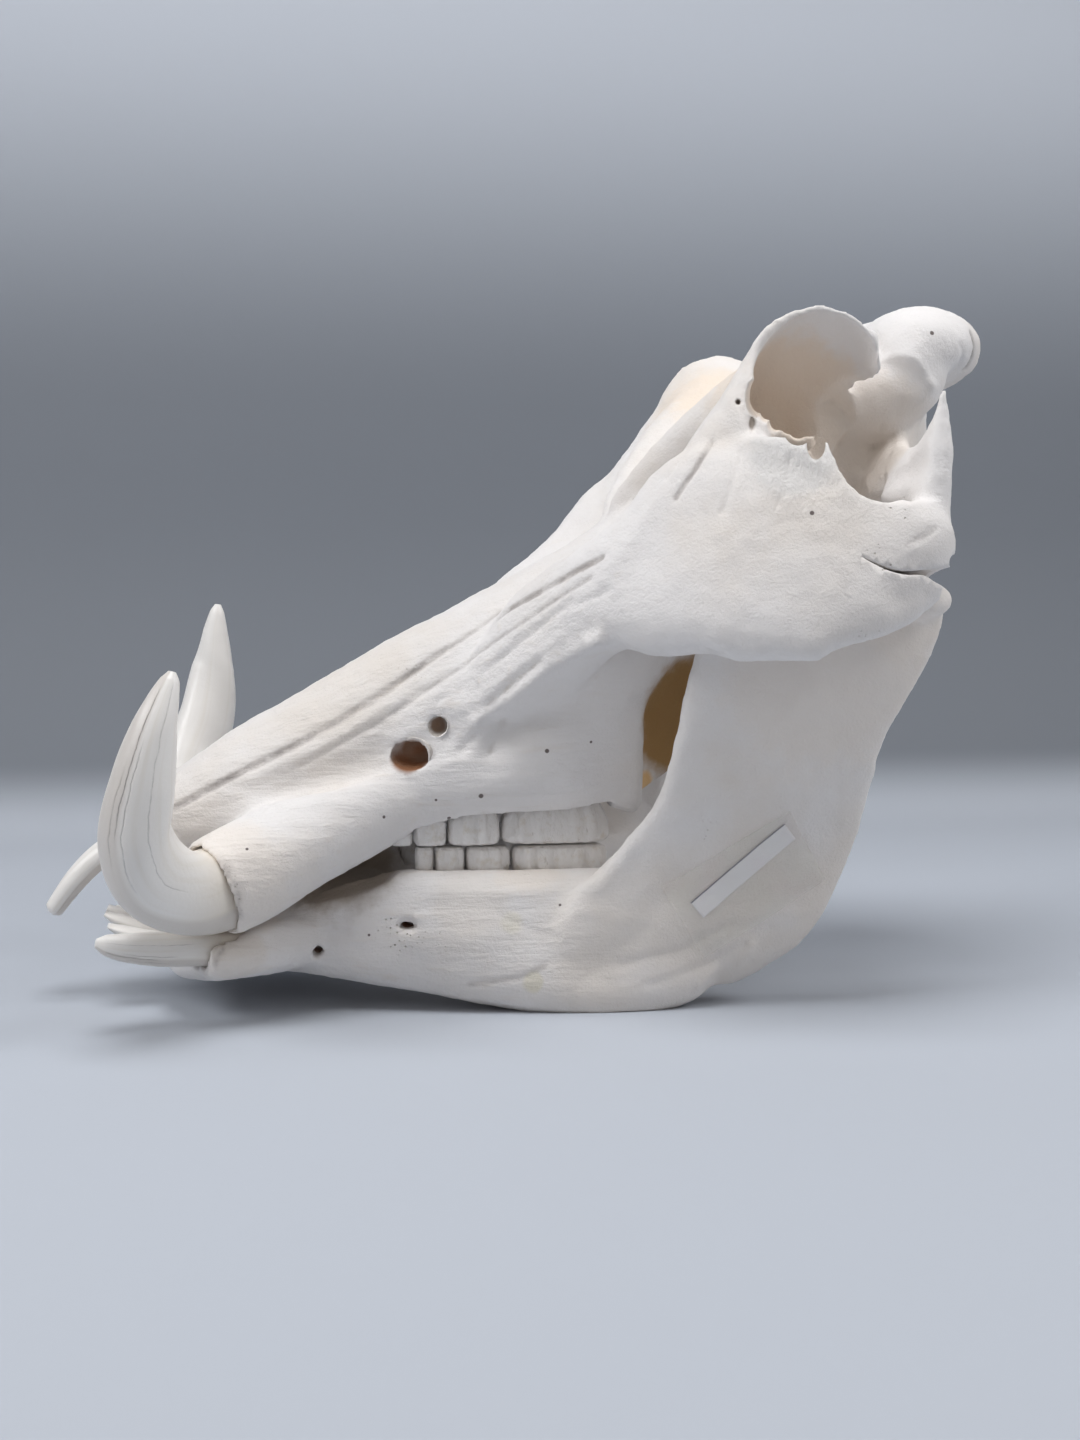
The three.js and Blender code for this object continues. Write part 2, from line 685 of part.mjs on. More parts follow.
// The origin is on the ground under the middle of the whole skull
const extent = new THREE.Box3().setFromObject(skull);
const middle = extent.getCenter(new THREE.Vector3());
skull.position.set(-middle.x, -middle.y, -extent.min.z);

export default skull;
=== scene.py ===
import math

import bmesh
import bpy
import numpy as np
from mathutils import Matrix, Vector, noise
from mathutils.bvhtree import BVHTree


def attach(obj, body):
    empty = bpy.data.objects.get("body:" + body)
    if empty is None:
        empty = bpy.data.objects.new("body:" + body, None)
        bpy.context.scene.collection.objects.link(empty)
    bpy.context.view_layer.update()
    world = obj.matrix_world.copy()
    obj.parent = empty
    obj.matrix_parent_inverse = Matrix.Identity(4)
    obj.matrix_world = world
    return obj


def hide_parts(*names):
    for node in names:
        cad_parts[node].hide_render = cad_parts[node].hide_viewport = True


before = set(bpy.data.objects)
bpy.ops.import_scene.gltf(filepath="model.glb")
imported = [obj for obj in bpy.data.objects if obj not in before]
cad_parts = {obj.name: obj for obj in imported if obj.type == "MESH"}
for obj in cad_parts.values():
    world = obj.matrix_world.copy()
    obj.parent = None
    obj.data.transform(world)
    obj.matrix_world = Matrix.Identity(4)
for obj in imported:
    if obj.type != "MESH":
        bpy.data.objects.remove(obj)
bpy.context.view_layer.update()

mm = 0.001
frameShift = 5.775  # the drawing frame's x origin in the shared frame
left = -1
right = 1


def placed(points):
    return (np.asarray(points, float) + [frameShift, 0, 0]) * mm


def drawn(points):
    return np.asarray(points, float) / mm - [frameShift, 0, 0]


# Camera, matched to the photograph

photoCamera = {
    "spot": (-115.5, -654.9, 150.0),
    "azimuth": 10.0,  # degrees from +Y towards +X
    "pitch": -4.04,
    "lens": 42.5,
    "photoWidth": 1080,
    "photoHeight": 1440,
    "focalPixels": 1700,
}


def makeCamera():
    data = bpy.data.cameras.new("photoCamera")
    data.lens = photoCamera["lens"]
    data.clip_start = 0.02
    camera = bpy.data.objects.new("photoCamera", data)
    bpy.context.scene.collection.objects.link(camera)
    camera.location = placed(photoCamera["spot"])
    pitch = math.radians(90 + photoCamera["pitch"])
    camera.rotation_euler = (pitch, 0, -math.radians(photoCamera["azimuth"]))
    bpy.context.scene.camera = camera
    bpy.context.view_layer.update()
    return camera


camera = makeCamera()
print("camera ready")


def sightLine(x, y):
    # The ray through a pixel of the photograph
    across = (x - photoCamera["photoWidth"] / 2) / photoCamera["focalPixels"]
    up = (photoCamera["photoHeight"] / 2 - y) / photoCamera["focalPixels"]
    turn = camera.matrix_world.to_3x3()
    return camera.location.copy(), (turn @ Vector((across, up, -1))).normalized()


# Lofts: a capped cylinder whose rings are moved onto stations
# A station is [x, y, z, half width, half height, squareness, lean in degrees, taper]


def smoothCurve(points, along):
    # The centripetal curve through the points, at places from 0 to 1
    p = np.asarray(points, float)
    spot = np.asarray(along) * (len(p) - 1)
    i = np.minimum(spot.astype(int), len(p) - 2)
    w = (spot - i)[:, None]
    ends = np.vstack([2 * p[0] - p[1], p, 2 * p[-1] - p[-2]])
    p0, p1, p2, p3 = ends[i], ends[i + 1], ends[i + 2], ends[i + 3]

    def gap(a, b):
        return np.sqrt(np.linalg.norm(b - a, axis=1))[:, None]

    d1 = gap(p1, p2)
    d1 = np.where(d1 < 1e-4, 1, d1)
    d0 = np.where(gap(p0, p1) < 1e-4, d1, gap(p0, p1))
    d2 = np.where(gap(p2, p3) < 1e-4, d1, gap(p2, p3))
    t1 = ((p1 - p0) / d0 - (p2 - p0) / (d0 + d1) + (p2 - p1) / d1) * d1
    t2 = ((p2 - p1) / d1 - (p3 - p1) / (d1 + d2) + (p3 - p2) / d2) * d1
    return p1 + t1 * w + (3 * (p2 - p1) - 2 * t1 - t2) * w**2 + (2 * (p1 - p2) + t1 + t2) * w**3


nearby = 1e-3  # the share of a loft over which its direction is measured
thinnest = 0.25  # the smallest half width or height that a ring gets
ringDirections = {
    "x": ((0, 1, 0), (0, 0, 1)),
    "y": ((1, 0, 0), (0, 0, 1)),
    "z": ((1, 0, 0), (0, 1, 0)),
}


def filledIn(station):
    # A station's last three values may be left off
    return list(station) + [2, 0, 0][len(station) - 5 :]


def loft(
    bm, stations, facing="path", flank=right, sides=40, rowsBetween=8, ridges=(0, 0), lobes=(0, 0)
):
    # ridges and lobes are how many, and how high as a share of the width
    stations = np.array([filledIn(s) for s in stations], float)
    rows = rowsBetween * (len(stations) - 1)
    vectorLayers = bm.verts.layers.float_vector
    # growth tells how far a vertex lies to the side, how far outward, and how far along the loft
    growth = vectorLayers.get("growth") or vectorLayers.new("growth")
    start = len(bm.verts)
    made = bmesh.ops.create_cone(
        bm, cap_ends=True, cap_tris=True, segments=sides, radius1=1, radius2=1, depth=1
    )
    spokes = dict.fromkeys(e for v in made["verts"] for e in v.link_edges)
    lengthwise = [e for e in spokes if abs(e.verts[0].co.z - e.verts[1].co.z) > 0.5]
    bmesh.ops.subdivide_edges(bm, edges=lengthwise, cuts=rows - 1)
    bm.verts.ensure_lookup_table()
    verts = [bm.verts[i] for i in range(start, len(bm.verts))]
    unit = np.array([v.co for v in verts])
    along = np.clip(unit[:, 2] + 0.5, 0, 1)
    radius = np.hypot(unit[:, 0], unit[:, 1])
    angle = np.arctan2(unit[:, 1], unit[:, 0])
    centre = smoothCurve(stations[:, :3], along)
    size = smoothCurve(stations[:, 3:6], along)
    turn = smoothCurve(stations[:, [6, 7, 7]], along)
    if facing == "path":
        ahead = smoothCurve(stations[:, :3], np.clip(along + nearby, 0, 1))
        behind = smoothCurve(stations[:, :3], np.clip(along - nearby, 0, 1))
        tangent = (ahead - behind) / np.linalg.norm(ahead - behind, axis=1)[:, None]
        side = np.cross([0, 0, 1], tangent)
        side /= np.linalg.norm(side, axis=1)[:, None]
        lift = np.cross(tangent, side)
        outward = np.array([0, 1, 0]) - tangent * tangent[:, 1:2]
        outward /= np.linalg.norm(outward, axis=1)[:, None]
        beside = np.cross(tangent, outward)
    else:
        side, lift = (np.tile(np.array(d, float), (len(verts), 1)) for d in ringDirections[facing])
        beside, outward = side, lift
    lean = np.radians(turn[:, 0])[:, None]
    side, lift = side * np.cos(lean) + lift * np.sin(lean), lift * np.cos(lean) - side * np.sin(lean)

    def rounded(value):
        return np.sign(value) * np.abs(value) ** (2 / size[:, 2])

    across = radius * rounded(np.cos(angle))
    high = radius * rounded(np.sin(angle))
    ridge = ridges[1] * np.cos(ridges[0] * angle)
    lobe = lobes[1] * np.cos(math.pi * lobes[0] * (across + 1))
    swell = 1 + ridge + lobe
    width = np.maximum(size[:, 0], thinnest) * (1 - turn[:, 1] * high) * (1 if lobes[0] else swell)
    height = np.maximum(size[:, 1], thinnest) * swell
    offset = side * (across * width)[:, None] + lift * (high * height)[:, None]
    spots = centre + offset
    spots[:, 1] *= flank
    offset /= np.maximum(np.linalg.norm(offset, axis=1), 1e-6)[:, None]
    toSide = np.einsum("ij,ij->i", offset, beside)
    toOutside = np.einsum("ij,ij->i", offset, outward)
    for v, spot, grownHere in zip(verts, placed(spots), np.stack([toSide, toOutside, along], axis=1)):
        v.co = spot
        v[growth] = grownHere


def band(x, bottom, top, half, squareness=2.6, taper=0.18):
    # A section of the face or braincase by how low and high it reaches
    return [x, 0, (top + bottom) / 2, half, (top - bottom) / 2, squareness, 0, taper]


def grown(stations, by):
    return [[*s[:3], s[3] + by, s[4] + by, *s[5:]] for s in stations]


# Mesh work shared by the bones


def asObject(name, bm):
    bmesh.ops.recalc_face_normals(bm, faces=bm.faces)
    mesh = bpy.data.meshes.new(name)
    bm.to_mesh(mesh)
    bm.free()
    piece = bpy.data.objects.new(name, mesh)
    bpy.context.scene.collection.objects.link(piece)
    return piece


def applied(piece):
    # The piece with its modifiers made part of its mesh
    graph = bpy.context.evaluated_depsgraph_get()
    mesh = bpy.data.meshes.new_from_object(piece.evaluated_get(graph))
    piece.modifiers.clear()
    old = piece.data
    piece.data = mesh
    bpy.data.meshes.remove(old)
    return piece


def fused(piece, voxel, smoothing):
    # One skin round everything that overlaps, with its joins softened
    remesh = piece.modifiers.new("oneSkin", "REMESH")
    remesh.mode = "VOXEL"
    remesh.voxel_size = voxel * mm
    if smoothing:
        smooth = piece.modifiers.new("softJoins", "SMOOTH")
        smooth.factor = 0.5
        smooth.iterations = smoothing
    return applied(piece)


def combined(piece, other, operation):
    # The piece with the other one joined to it or cut out of it
    change = piece.modifiers.new("change", "BOOLEAN")
    change.operation = operation
    change.solver = "EXACT"
    change.object = other
    applied(piece)
    bpy.data.objects.remove(other)
    return piece


def thinned(piece, triangles):
    count = sum(len(p.vertices) - 2 for p in piece.data.polygons)
    if count <= triangles:
        return piece
    fewer = piece.modifiers.new("fewer", "DECIMATE")
    fewer.ratio = triangles / count
    return applied(piece)


def vertexSpots(piece):
    spots = np.zeros(len(piece.data.vertices) * 3)
    piece.data.vertices.foreach_get("co", spots)
    return drawn(spots.reshape(-1, 3))


def vertexNormals(piece):
    normals = np.zeros(len(piece.data.vertices) * 3)
    piece.data.vertices.foreach_get("normal", normals)
    return normals.reshape(-1, 3)


def moveVertices(piece, spots):
    piece.data.vertices.foreach_set("co", placed(spots).ravel())
    piece.data.update()


def pathDistance(spots, path, reach):
    # How far each spot is from a line through the path's points, for spots within its reach
    nearest = np.full(len(spots), 1e6)
    for a, b in zip(path[:-1], path[1:]):
        inside = np.all((spots > np.minimum(a, b) - reach) & (spots < np.maximum(a, b) + reach), axis=1)
        near = spots[inside]
        ab = b - a
        t = np.clip((near - a) @ ab / max(ab @ ab, 1e-9), 0, 1)
        nearest[inside] = np.minimum(nearest[inside], np.linalg.norm(near - a - t[:, None] * ab, axis=1))
    return nearest


def surfaceTree(piece):
    bm = bmesh.new()
    bm.from_mesh(piece.data)
    tree = BVHTree.FromBMesh(bm)
    bm.free()
    return tree


def traced(tree, pixels):
    # Where the sight lines through these pixels meet the surface
    found = []
    for x, y in pixels:
        hit = tree.ray_cast(*sightLine(x, y))[0]
        if hit:
            found.append(drawn(hit))
    return np.array(found)


soiledLines = []  # path, width and strength of each carved line that holds dirt


def carveLines(piece, relief, soiled):
    # Lines are [pixels of the photograph, width, depth], on both sides; a depth below 0 raises a ridge
    tree = surfaceTree(piece)
    spots = vertexSpots(piece)
    normals = vertexNormals(piece)
    push = np.zeros(len(spots))
    for name, (pixels, width, depth) in relief.items():
        path = traced(tree, pixels)
        if len(path) < 2:
            continue
        for mirror in (1, -1):
            distance = pathDistance(spots, path * [1, mirror, 1], 3 * width)
            push -= depth * np.exp(-((distance / width) ** 2))
            if name in soiled:
                soiledLines.append((path * [1, mirror, 1], width * 1.2, min(1, depth)))
    moveVertices(piece, spots + normals * push[:, None])


def roughen(piece, unevenness):
    # Low uneven relief all over: how high, how wide, and where its pattern starts
    for amount, size, start in unevenness:
        spots = vertexSpots(piece)
        normals = vertexNormals(piece)
        offset = Vector((start, 0, 0))
        push = np.array([noise.fractal(Vector(s) / size + offset, 0.8, 2.1, 3) for s in spots])
        moveVertices(piece, spots + normals * (amount * push)[:, None])


def storeSoil(piece):
    # How much dirt the carved lines hold at each vertex
    spots = vertexSpots(piece)
    soil = np.zeros(len(spots))
    for path, width, strength in soiledLines:
        distance = pathDistance(spots, path, 3 * width)
        soil = np.maximum(soil, strength * np.exp(-((distance / width) ** 2)))
    layer = piece.data.attributes.new("soil", "FLOAT", "POINT")
    layer.data.foreach_set("value", soil.astype(np.float32))


blurRounds = 12
deepHollow = 0.9  # how far below its neighbours a vertex gets the most painted shade and dirt


def storeHollows(piece):
    # How sunken each vertex lies among its neighbours, for the painted shade and dirt in the hollows
    mesh = piece.data
    count = len(mesh.vertices)
    edges = np.zeros(len(mesh.edges) * 2, int)
    mesh.edges.foreach_get("vertices", edges)
    edges = edges.reshape(-1, 2)
    spots = vertexSpots(piece)
    normals = vertexNormals(piece)
    degree = np.bincount(edges.ravel(), minlength=count)[:, None]
    blurred = spots.copy()
    for _ in range(blurRounds):
        total = np.zeros_like(blurred)
        np.add.at(total, edges[:, 0], blurred[edges[:, 1]])
        np.add.at(total, edges[:, 1], blurred[edges[:, 0]])
        blurred = 0.5 * blurred + 0.5 * total / np.maximum(degree, 1)
    sunken = np.einsum("ij,ij->i", blurred - spots, normals)
    layer = mesh.attributes.new("hollow", "FLOAT", "POINT")
    layer.data.foreach_set("value", np.clip(sunken / deepHollow, -1, 1).astype(np.float32))


def finished(piece, material, slot, *nodes):
    for polygon in piece.data.polygons:
        polygon.use_smooth = True
    piece.data.materials.clear()
    piece.data.materials.append(material)
    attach(piece, "root")
    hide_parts(*nodes)


boneSurface = {
    # coarse, fine and hollows are the voxels of the skins; softening counts rounds of smoothing
    # unevenness is [height, width, where its pattern starts]
    "cranium": {
        "coarse": 1.8,
        "softening": 10,
        "fine": 1.15,
        "triangles": 195000,
        "unevenness": [[0.45, 16, 3], [0.17, 3.6, 9]],
    },
    "mandible": {
        "coarse": 1.8,
        "softening": 8,
        "fine": 1.25,
        "triangles": 150000,
        "unevenness": [[0.4, 18, 5], [0.14, 4, 11]],
    },
    "hollows": 1.2,
    "lastSoftening": 2,
}


def carvedBone(name, solid, hollows):
    # The solid's forms as one skin with the hollows cut out of it
    surface = boneSurface[name]
    skin = fused(asObject(name + "Bone", solid), surface["coarse"], surface["softening"])
    cutter = fused(asObject(name + "Hollows", hollows), boneSurface["hollows"], 0)
    cut = combined(skin, cutter, "DIFFERENCE")
    return fused(cut, surface["fine"], boneSurface["lastSoftening"])


# Cranium

cranium = {
    "faceAndBraincase": [
        band(-164, 63, 71, 9, 2.2, 0),
        band(-156, 59, 77, 18, 2.4, 0.05),
        band(-142, 56, 85, 25, 2.6, 0.1),
        band(-118, 56, 101, 31),
        band(-93, 57, 115, 34),
        band(-64, 60, 132, 36),
        band(-35, 65, 147, 39),
        band(-10, 68, 160, 42, 2.5, 0.22),
        band(12, 71, 172, 46, 2.4, 0.22),
        band(30, 96, 185, 47, 2.5, 0.12),
        band(48, 119, 201, 45, 2.6, 0),
        band(66, 126, 217, 40, 2.6, -0.03),
        band(86, 132, 229, 34, 2.5, -0.05),
        band(108, 141, 241, 32, 2.4, -0.05),
        band(128, 151, 251, 32, 2.3, -0.05),
        band(141, 156, 253, 31, 2.3, -0.05),
        band(148, 164, 251, 25, 2.3, -0.05),
        band(152, 178, 247, 15, 2.2, 0),
    ],
    "canineSocketWall": [
        [-56, 31, 76.5, 12, 12.5],
        [-76, 36, 69.5, 17, 15.2],
        [-97, 42.5, 61.5, 19.5, 16.8],
        [-114, 49.5, 54, 20, 18.2],
        [-126.5, 55, 48.5, 19, 18],
    ],
    "zygomaticArch": [
        [-38, 30, 103, 8, 8, 2.4, 10],
        [-20, 35, 118, 13, 17, 2.4, 14],
        [-2, 45, 138, 15, 22, 2.4, 20],
        [13, 57, 150.5, 15, 21, 2.6, 22],
        [29, 70, 158, 14, 31, 2.8, 22],
        [47, 82, 167, 12, 41, 2.8, 22],
        [67, 91, 168, 10, 41, 2.8, 20],
        [86, 97, 167, 9, 40, 2.8, 18],
        [100, 100, 164, 9, 28, 2.6, 14],
        [111, 100.5, 166, 9.5, 20.5, 2.4, 8],
        [119, 99, 170, 9, 15, 2.2, 0],
        [125, 97, 172, 5.5, 8, 2, 0],
        [127, 96.5, 173, 2, 3, 2, 0],
    ],
    "squamosalSpike": [
        [119, 97.5, 168, 7, 7],
        [121.5, 97, 188, 6, 5],
        [123.8, 95.5, 204, 4.6, 3.6],
        [125, 94, 215, 2.8, 2.6],
        [125.2, 92.8, 222, 1.5, 1.4],
        [125, 92.5, 226, 0.7, 0.7],
    ],
    "fossaRearWall": [
        [120.5, 96, 200, 2.6, 25, 2.4, -13],
        [120.5, 88, 197, 3, 18, 2.4, -17],
        [120.3, 79, 194, 3.4, 14.5, 2.4, -21],
        [120.8, 66, 193, 3.8, 14, 2.4, -24],
        [122.8, 52, 194, 4.6, 15, 2.4, -27],
        [126, 38, 197, 6, 18, 2.4, -27],
        [131, 26, 200, 8, 22, 2.4, -20],
    ],
    "jawJointRoof": [
        [119, 95, 168, 7, 8],
        [124, 76, 168.5, 10, 8],
        [128, 52, 172, 11, 11],
        [133, 28, 178, 12, 16],
    ],
    "browHood": [
        [60, 4, 184, 36, 16],
        [68, 20, 200, 31, 20],
        [79, 36, 213, 29, 22],
        [87, 50, 223, 27, 23.5, 2, 20],
        [88.5, 65, 231, 27, 24.5, 2, 30],
    ],
    "eyeSocket": [
        [92, 84, 232, 28, 24.5, 2, 30],
        [89.5, 66, 231, 24.7, 21.6, 2, 30],
        [87.5, 52, 226, 22, 20, 2, 20],
        [83, 40, 219, 18, 17],
        [80, 31, 214, 10, 10],
    ],
    "rimHook": [
        [110, 60, 248, 4, 4],
        [110.8, 62, 241, 3.2, 3],
        [109.6, 63.5, 236.5, 1.8, 1.8],
        [109.2, 64, 234.5, 0.7, 0.7],
    ],
    "lacrimalBlock": [
        [34, 61, 156, 17, 17, 2.4],
        [41, 63, 174, 20, 18, 2.4],
        [51, 63, 192, 18, 17, 2.4],
        [59, 61.5, 209, 14, 14, 2.4],
        [65, 61, 224, 9, 10, 2.4],
        [69, 60, 237, 5, 6, 2.4],
    ],
    "toothRidge": [
        [-68, 29, 68, 7, 6, 3],
        [-52, 30.5, 76, 10, 11, 3.2],
        [-30, 31, 84, 11.5, 15, 3.4],
        [0, 31, 88, 12, 18, 3.4],
        [22, 30.5, 90, 11, 18, 3],
        [29, 29, 90, 5, 12, 2.6],
    ],
    "maxillaWall": [
        [-74, 24, 84, 10, 14, 2.6, 6],
        [-48, 27, 95, 15, 26, 2.8, 10],
        [-20, 29, 103, 16, 33, 2.8, 10],
        [5, 31, 110, 15.5, 37, 2.8, 6],
        [22, 31, 109, 14, 37, 3, 0],
        [30, 31.5, 101, 12.3, 32, 3.4, 0],
        [32.5, 31.5, 99, 8, 27, 3, 0],
    ],
    "gapBehindEye": [
        [110, 86, 216, 13, 18],
        [109, 66, 216, 14, 18],
        [105, 48, 215, 14, 17],
        [103, 38, 213, 9, 12],
    ],
    "fossaBelowEye": [
        [106, 60, 222, 9, 7],
        [104, 59, 212, 12, 10],
        [102, 58, 203, 15, 12],
        [95, 57, 194, 24, 14],
        [93, 58, 180, 26, 17],
        [93, 60, 140, 27, 20],
    ],
    "nuchalCrest": [
        [134, -50, 241, 4, 4],
        [139, -44, 245, 15, 9.5],
        [144, -30, 248.5, 22, 13.5],
        [149, -14, 248.5, 26, 15.5],
        [150, 0, 247.5, 27, 15.5],
        [149, 14, 248.5, 26, 15.5],
        [144, 30, 248.5, 22, 13.5],
        [139, 44, 245, 15, 9.5],
        [134, 50, 241, 4, 4],
    ],
    "parietalWall": [
        [100, 26, 222, 10, 14],
        [115, 30, 226, 12, 16],
        [130, 33, 230, 14, 18],
        [142, 34, 234, 14, 16],
        [150, 33, 238, 9, 9],
    ],
    "hollowUnderCrest": [
        [192, 0, 221, 34, 19],
        [172, 0, 221, 28, 15],
        [156, 0, 220, 16, 12],
        [149, 0, 220, 5, 5],
    ],
    "occipitalCondyle": [
        [136, 14, 168, 5, 6],
        [142, 14.5, 168, 9, 11],
        [149, 15, 168, 9.5, 11.5],
        [154, 15, 169, 6.5, 8],
        [157, 15, 169.5, 2, 3],
    ],
    "spinalOpening": [
        [178, 0, 184, 10, 9.5],
        [150, 0, 182, 9, 9],
        [120, 0, 186, 8, 8],
    ],
    "paroccipitalProcess": [
        [137, 33, 172, 9, 8],
        [134, 37, 150, 6.5, 5],
        [130, 38, 130, 4.2, 3.4],
        [126.5, 37, 113, 2, 1.6],
    ],
    "pterygoidPlate": [
        [20, 26, 96, 4, 20, 3],
        [34, 26, 102, 4, 25, 3],
        [50, 25, 112, 4, 25, 3],
        [66, 24, 123, 4, 17, 3],
        [82, 22, 134, 5, 9, 2.4],
    ],
    "nasalOpening": [
        [-180, 0, 69, 34, 6.5, 3],
        [-160, 0, 68.5, 26, 5.5, 3],
        [-149, 0, 69, 15, 7, 2.4],
        [-132, 0, 73, 16, 10],
        [-114, 0, 78, 12, 9],
        [-104, 0, 80, 5, 4],
    ],
    "archNotch": [
        [102.5, 68, 203, 16.5, 20, 2.2],
        [102.5, 125, 203, 16.5, 20, 2.2],
    ],
    "infraorbitalForamen": [
        [-66, 58, 90, 7.2, 4.4],
        [-58, 44, 92, 7.2, 4.4],
        [-50, 30, 95, 6, 4],
    ],
    "smallForamen": [
        [-52, 58, 102, 3, 2.6],
        [-46, 42, 104, 2.8, 2.4],
        [-40, 30, 106, 2, 2],
    ],
    "gapBehindBraincase": [
        [170, 40, 213, 11, 13],
        [152, 39, 213, 10, 12.5],
        [142, 38, 213, 7, 10],
        [137, 38, 212, 2, 4],
    ],
    "cheekSuture": [
        [91, 112, 164.5, 4, 0.3],
        [95, 111, 162.4, 6, 0.4],
        [100, 110, 160.2, 8, 0.5],
        [105.5, 110, 159.1, 9, 0.6],
        [112, 109, 159.2, 10, 0.9],
        [117, 107, 158.2, 12, 2.2],
        [124, 105, 157.5, 14, 4],
        [134, 104, 157.5, 16, 4],
    ],
}

tusks = {
    "upperLeft": [
        [-88, 38, 66, 8, 8],
        [-108, 45.5, 56.5, 13, 14],
        [-124, 54, 49.5, 14.8, 15.2],
        [-136, 65, 50, 14, 14.4],
        [-146, 76, 58, 13.4, 14.8],
        [-150, 85.5, 73, 12, 13.6],
        [-147.5, 90.5, 91, 9.7, 11],
        [-143.2, 91.5, 108, 6.9, 7.6],
        [-140, 89.8, 118, 4.8, 5.2],
        [-138, 88.6, 124, 3, 3.2],
        [-137.4, 88.2, 126.6, 1.3, 1.3],
    ],
    "upperRight": [
        [-88, 38, 66, 8, 8],
        [-108, 45.5, 56.5, 13, 14],
        [-124, 54, 50, 15, 15.6],
        [-136, 67, 51.5, 14.4, 15.6],
        [-140.5, 80, 63, 13.4, 15.2],
        [-136, 88.5, 82, 11.8, 13.6],
        [-130, 93, 101, 10.5, 12],
        [-127, 93.5, 121, 8.2, 9],
        [-125.8, 91.8, 137, 5, 5.4],
        [-125, 90.6, 145, 2.9, 3],
        [-124.6, 90.2, 148, 1.3, 1.3],
    ],
    "lower": [
        [-100, 36, 25.5, 4, 4],
        [-116, 43.5, 25.8, 6.6, 6],
        [-132, 50, 27.6, 7.4, 6.2],
        [-145, 54.5, 28.6, 6.6, 6],
        [-156, 58, 30.2, 5.4, 4.9],
        [-162.5, 59.3, 31.6, 4, 3.6],
        [-165.6, 60, 32.4, 1.8, 1.6],
    ],
}

frontTeeth = {
    "upper_incisor": [
        [-146, 7.5, 61.5, 3, 3],
        [-158, 7.5, 60, 4.2, 4.2],
        [-169, 7.2, 53.5, 4.3, 4.3],
        [-178, 6.8, 44.5, 4.1, 4.1],
        [-185, 6, 35, 3.4, 3.4],
        [-186, 6, 33.8, 1.6, 1.6],
    ],
    "lower_first_incisor": [
        [-124, 5.8, 22, 3.4, 3],
        [-138, 6, 23.5, 4.4, 3.8],
        [-152, 6.2, 26.5, 5.2, 3.6],
        [-162, 6.2, 30.5, 5, 2.4],
        [-166.5, 6.2, 33, 4, 1],
    ],
    "lower_second_incisor": [
        [-124, 15.5, 21, 3.2, 3],
        [-138, 17, 22.5, 4.2, 3.6],
        [-150, 18, 25, 4.9, 3.3],
        [-160, 18.6, 28.5, 4.6, 2.2],
        [-164.5, 19, 30.6, 3.6, 0.9],
    ],
}

# Cheek teeth: name, front end, back end, half width, lobes along the crown
cheekTeeth = {
    "fromMiddle": 30.5,
    "upper": [
        ["premolar", -61.5, -53.6, 4.6, 1],
        ["first_molar", -53, -41.2, 6.6, 2],
        ["second_molar", -40.6, -21.2, 7.8, 3],
        ["third_molar", -20.6, 20.5, 7.6, 6],
    ],
    "upperCrown": 59.5,
    "upperRoot": 76,
    "lower": [
        ["premolar", -52.5, -45.8, 4, 1],
        ["first_molar", -45.2, -34.4, 5.6, 2],
        ["second_molar", -33.8, -17.2, 6.4, 3],
        ["third_molar", -16.6, 20, 6.4, 6],
    ],
    "lowerCrown": 58.4,
    "lowerRoot": 42,
    # rings from the chewing end to the root: how far up, length, width, squareness
    "rings": [
        [0, 0.84, 0.78, 3.4],
        [0.06, 0.96, 0.95, 3.6],
        [0.2, 1, 1, 3.6],
        [0.5, 0.98, 1, 3.4],
        [1, 0.8, 0.75, 3],
    ],
    "lobeHeight": 0.1,
}

socketGap = {"upperTusk": 0.8, "lowerTusk": 0.7, "tooth": 0.4}


def rootTrough(bm, row, flank):
    # One trough for the roots of a whole row of cheek teeth
    teeth = cheekTeeth[row]
    crown = cheekTeeth[row + "Crown"]
    root = cheekTeeth[row + "Root"]
    gap = socketGap["tooth"]
    depth = abs(root - crown) / 2 + gap * 3
    boxy = 7
    middle = [cheekTeeth["fromMiddle"], (crown + root) / 2]
    stations = []
    for _, front, back, half, _ in teeth:
        for end in (front, back):
            stations.append([end, *middle, half + gap, depth, boxy])
    stations[0][0] -= gap
    stations[-1][0] += gap
    loft(bm, stations, facing="x", flank=flank, sides=16, rowsBetween=3)


def loftAll(bm, forms, flank, listed):
    # Forms by name, each with the way that its sections face and its number of sides
    for name, facing, sides in listed:
        loft(bm, forms[name], facing, flank, sides)


def upperTusk(flank):
    return tusks["upperLeft" if flank == left else "upperRight"]


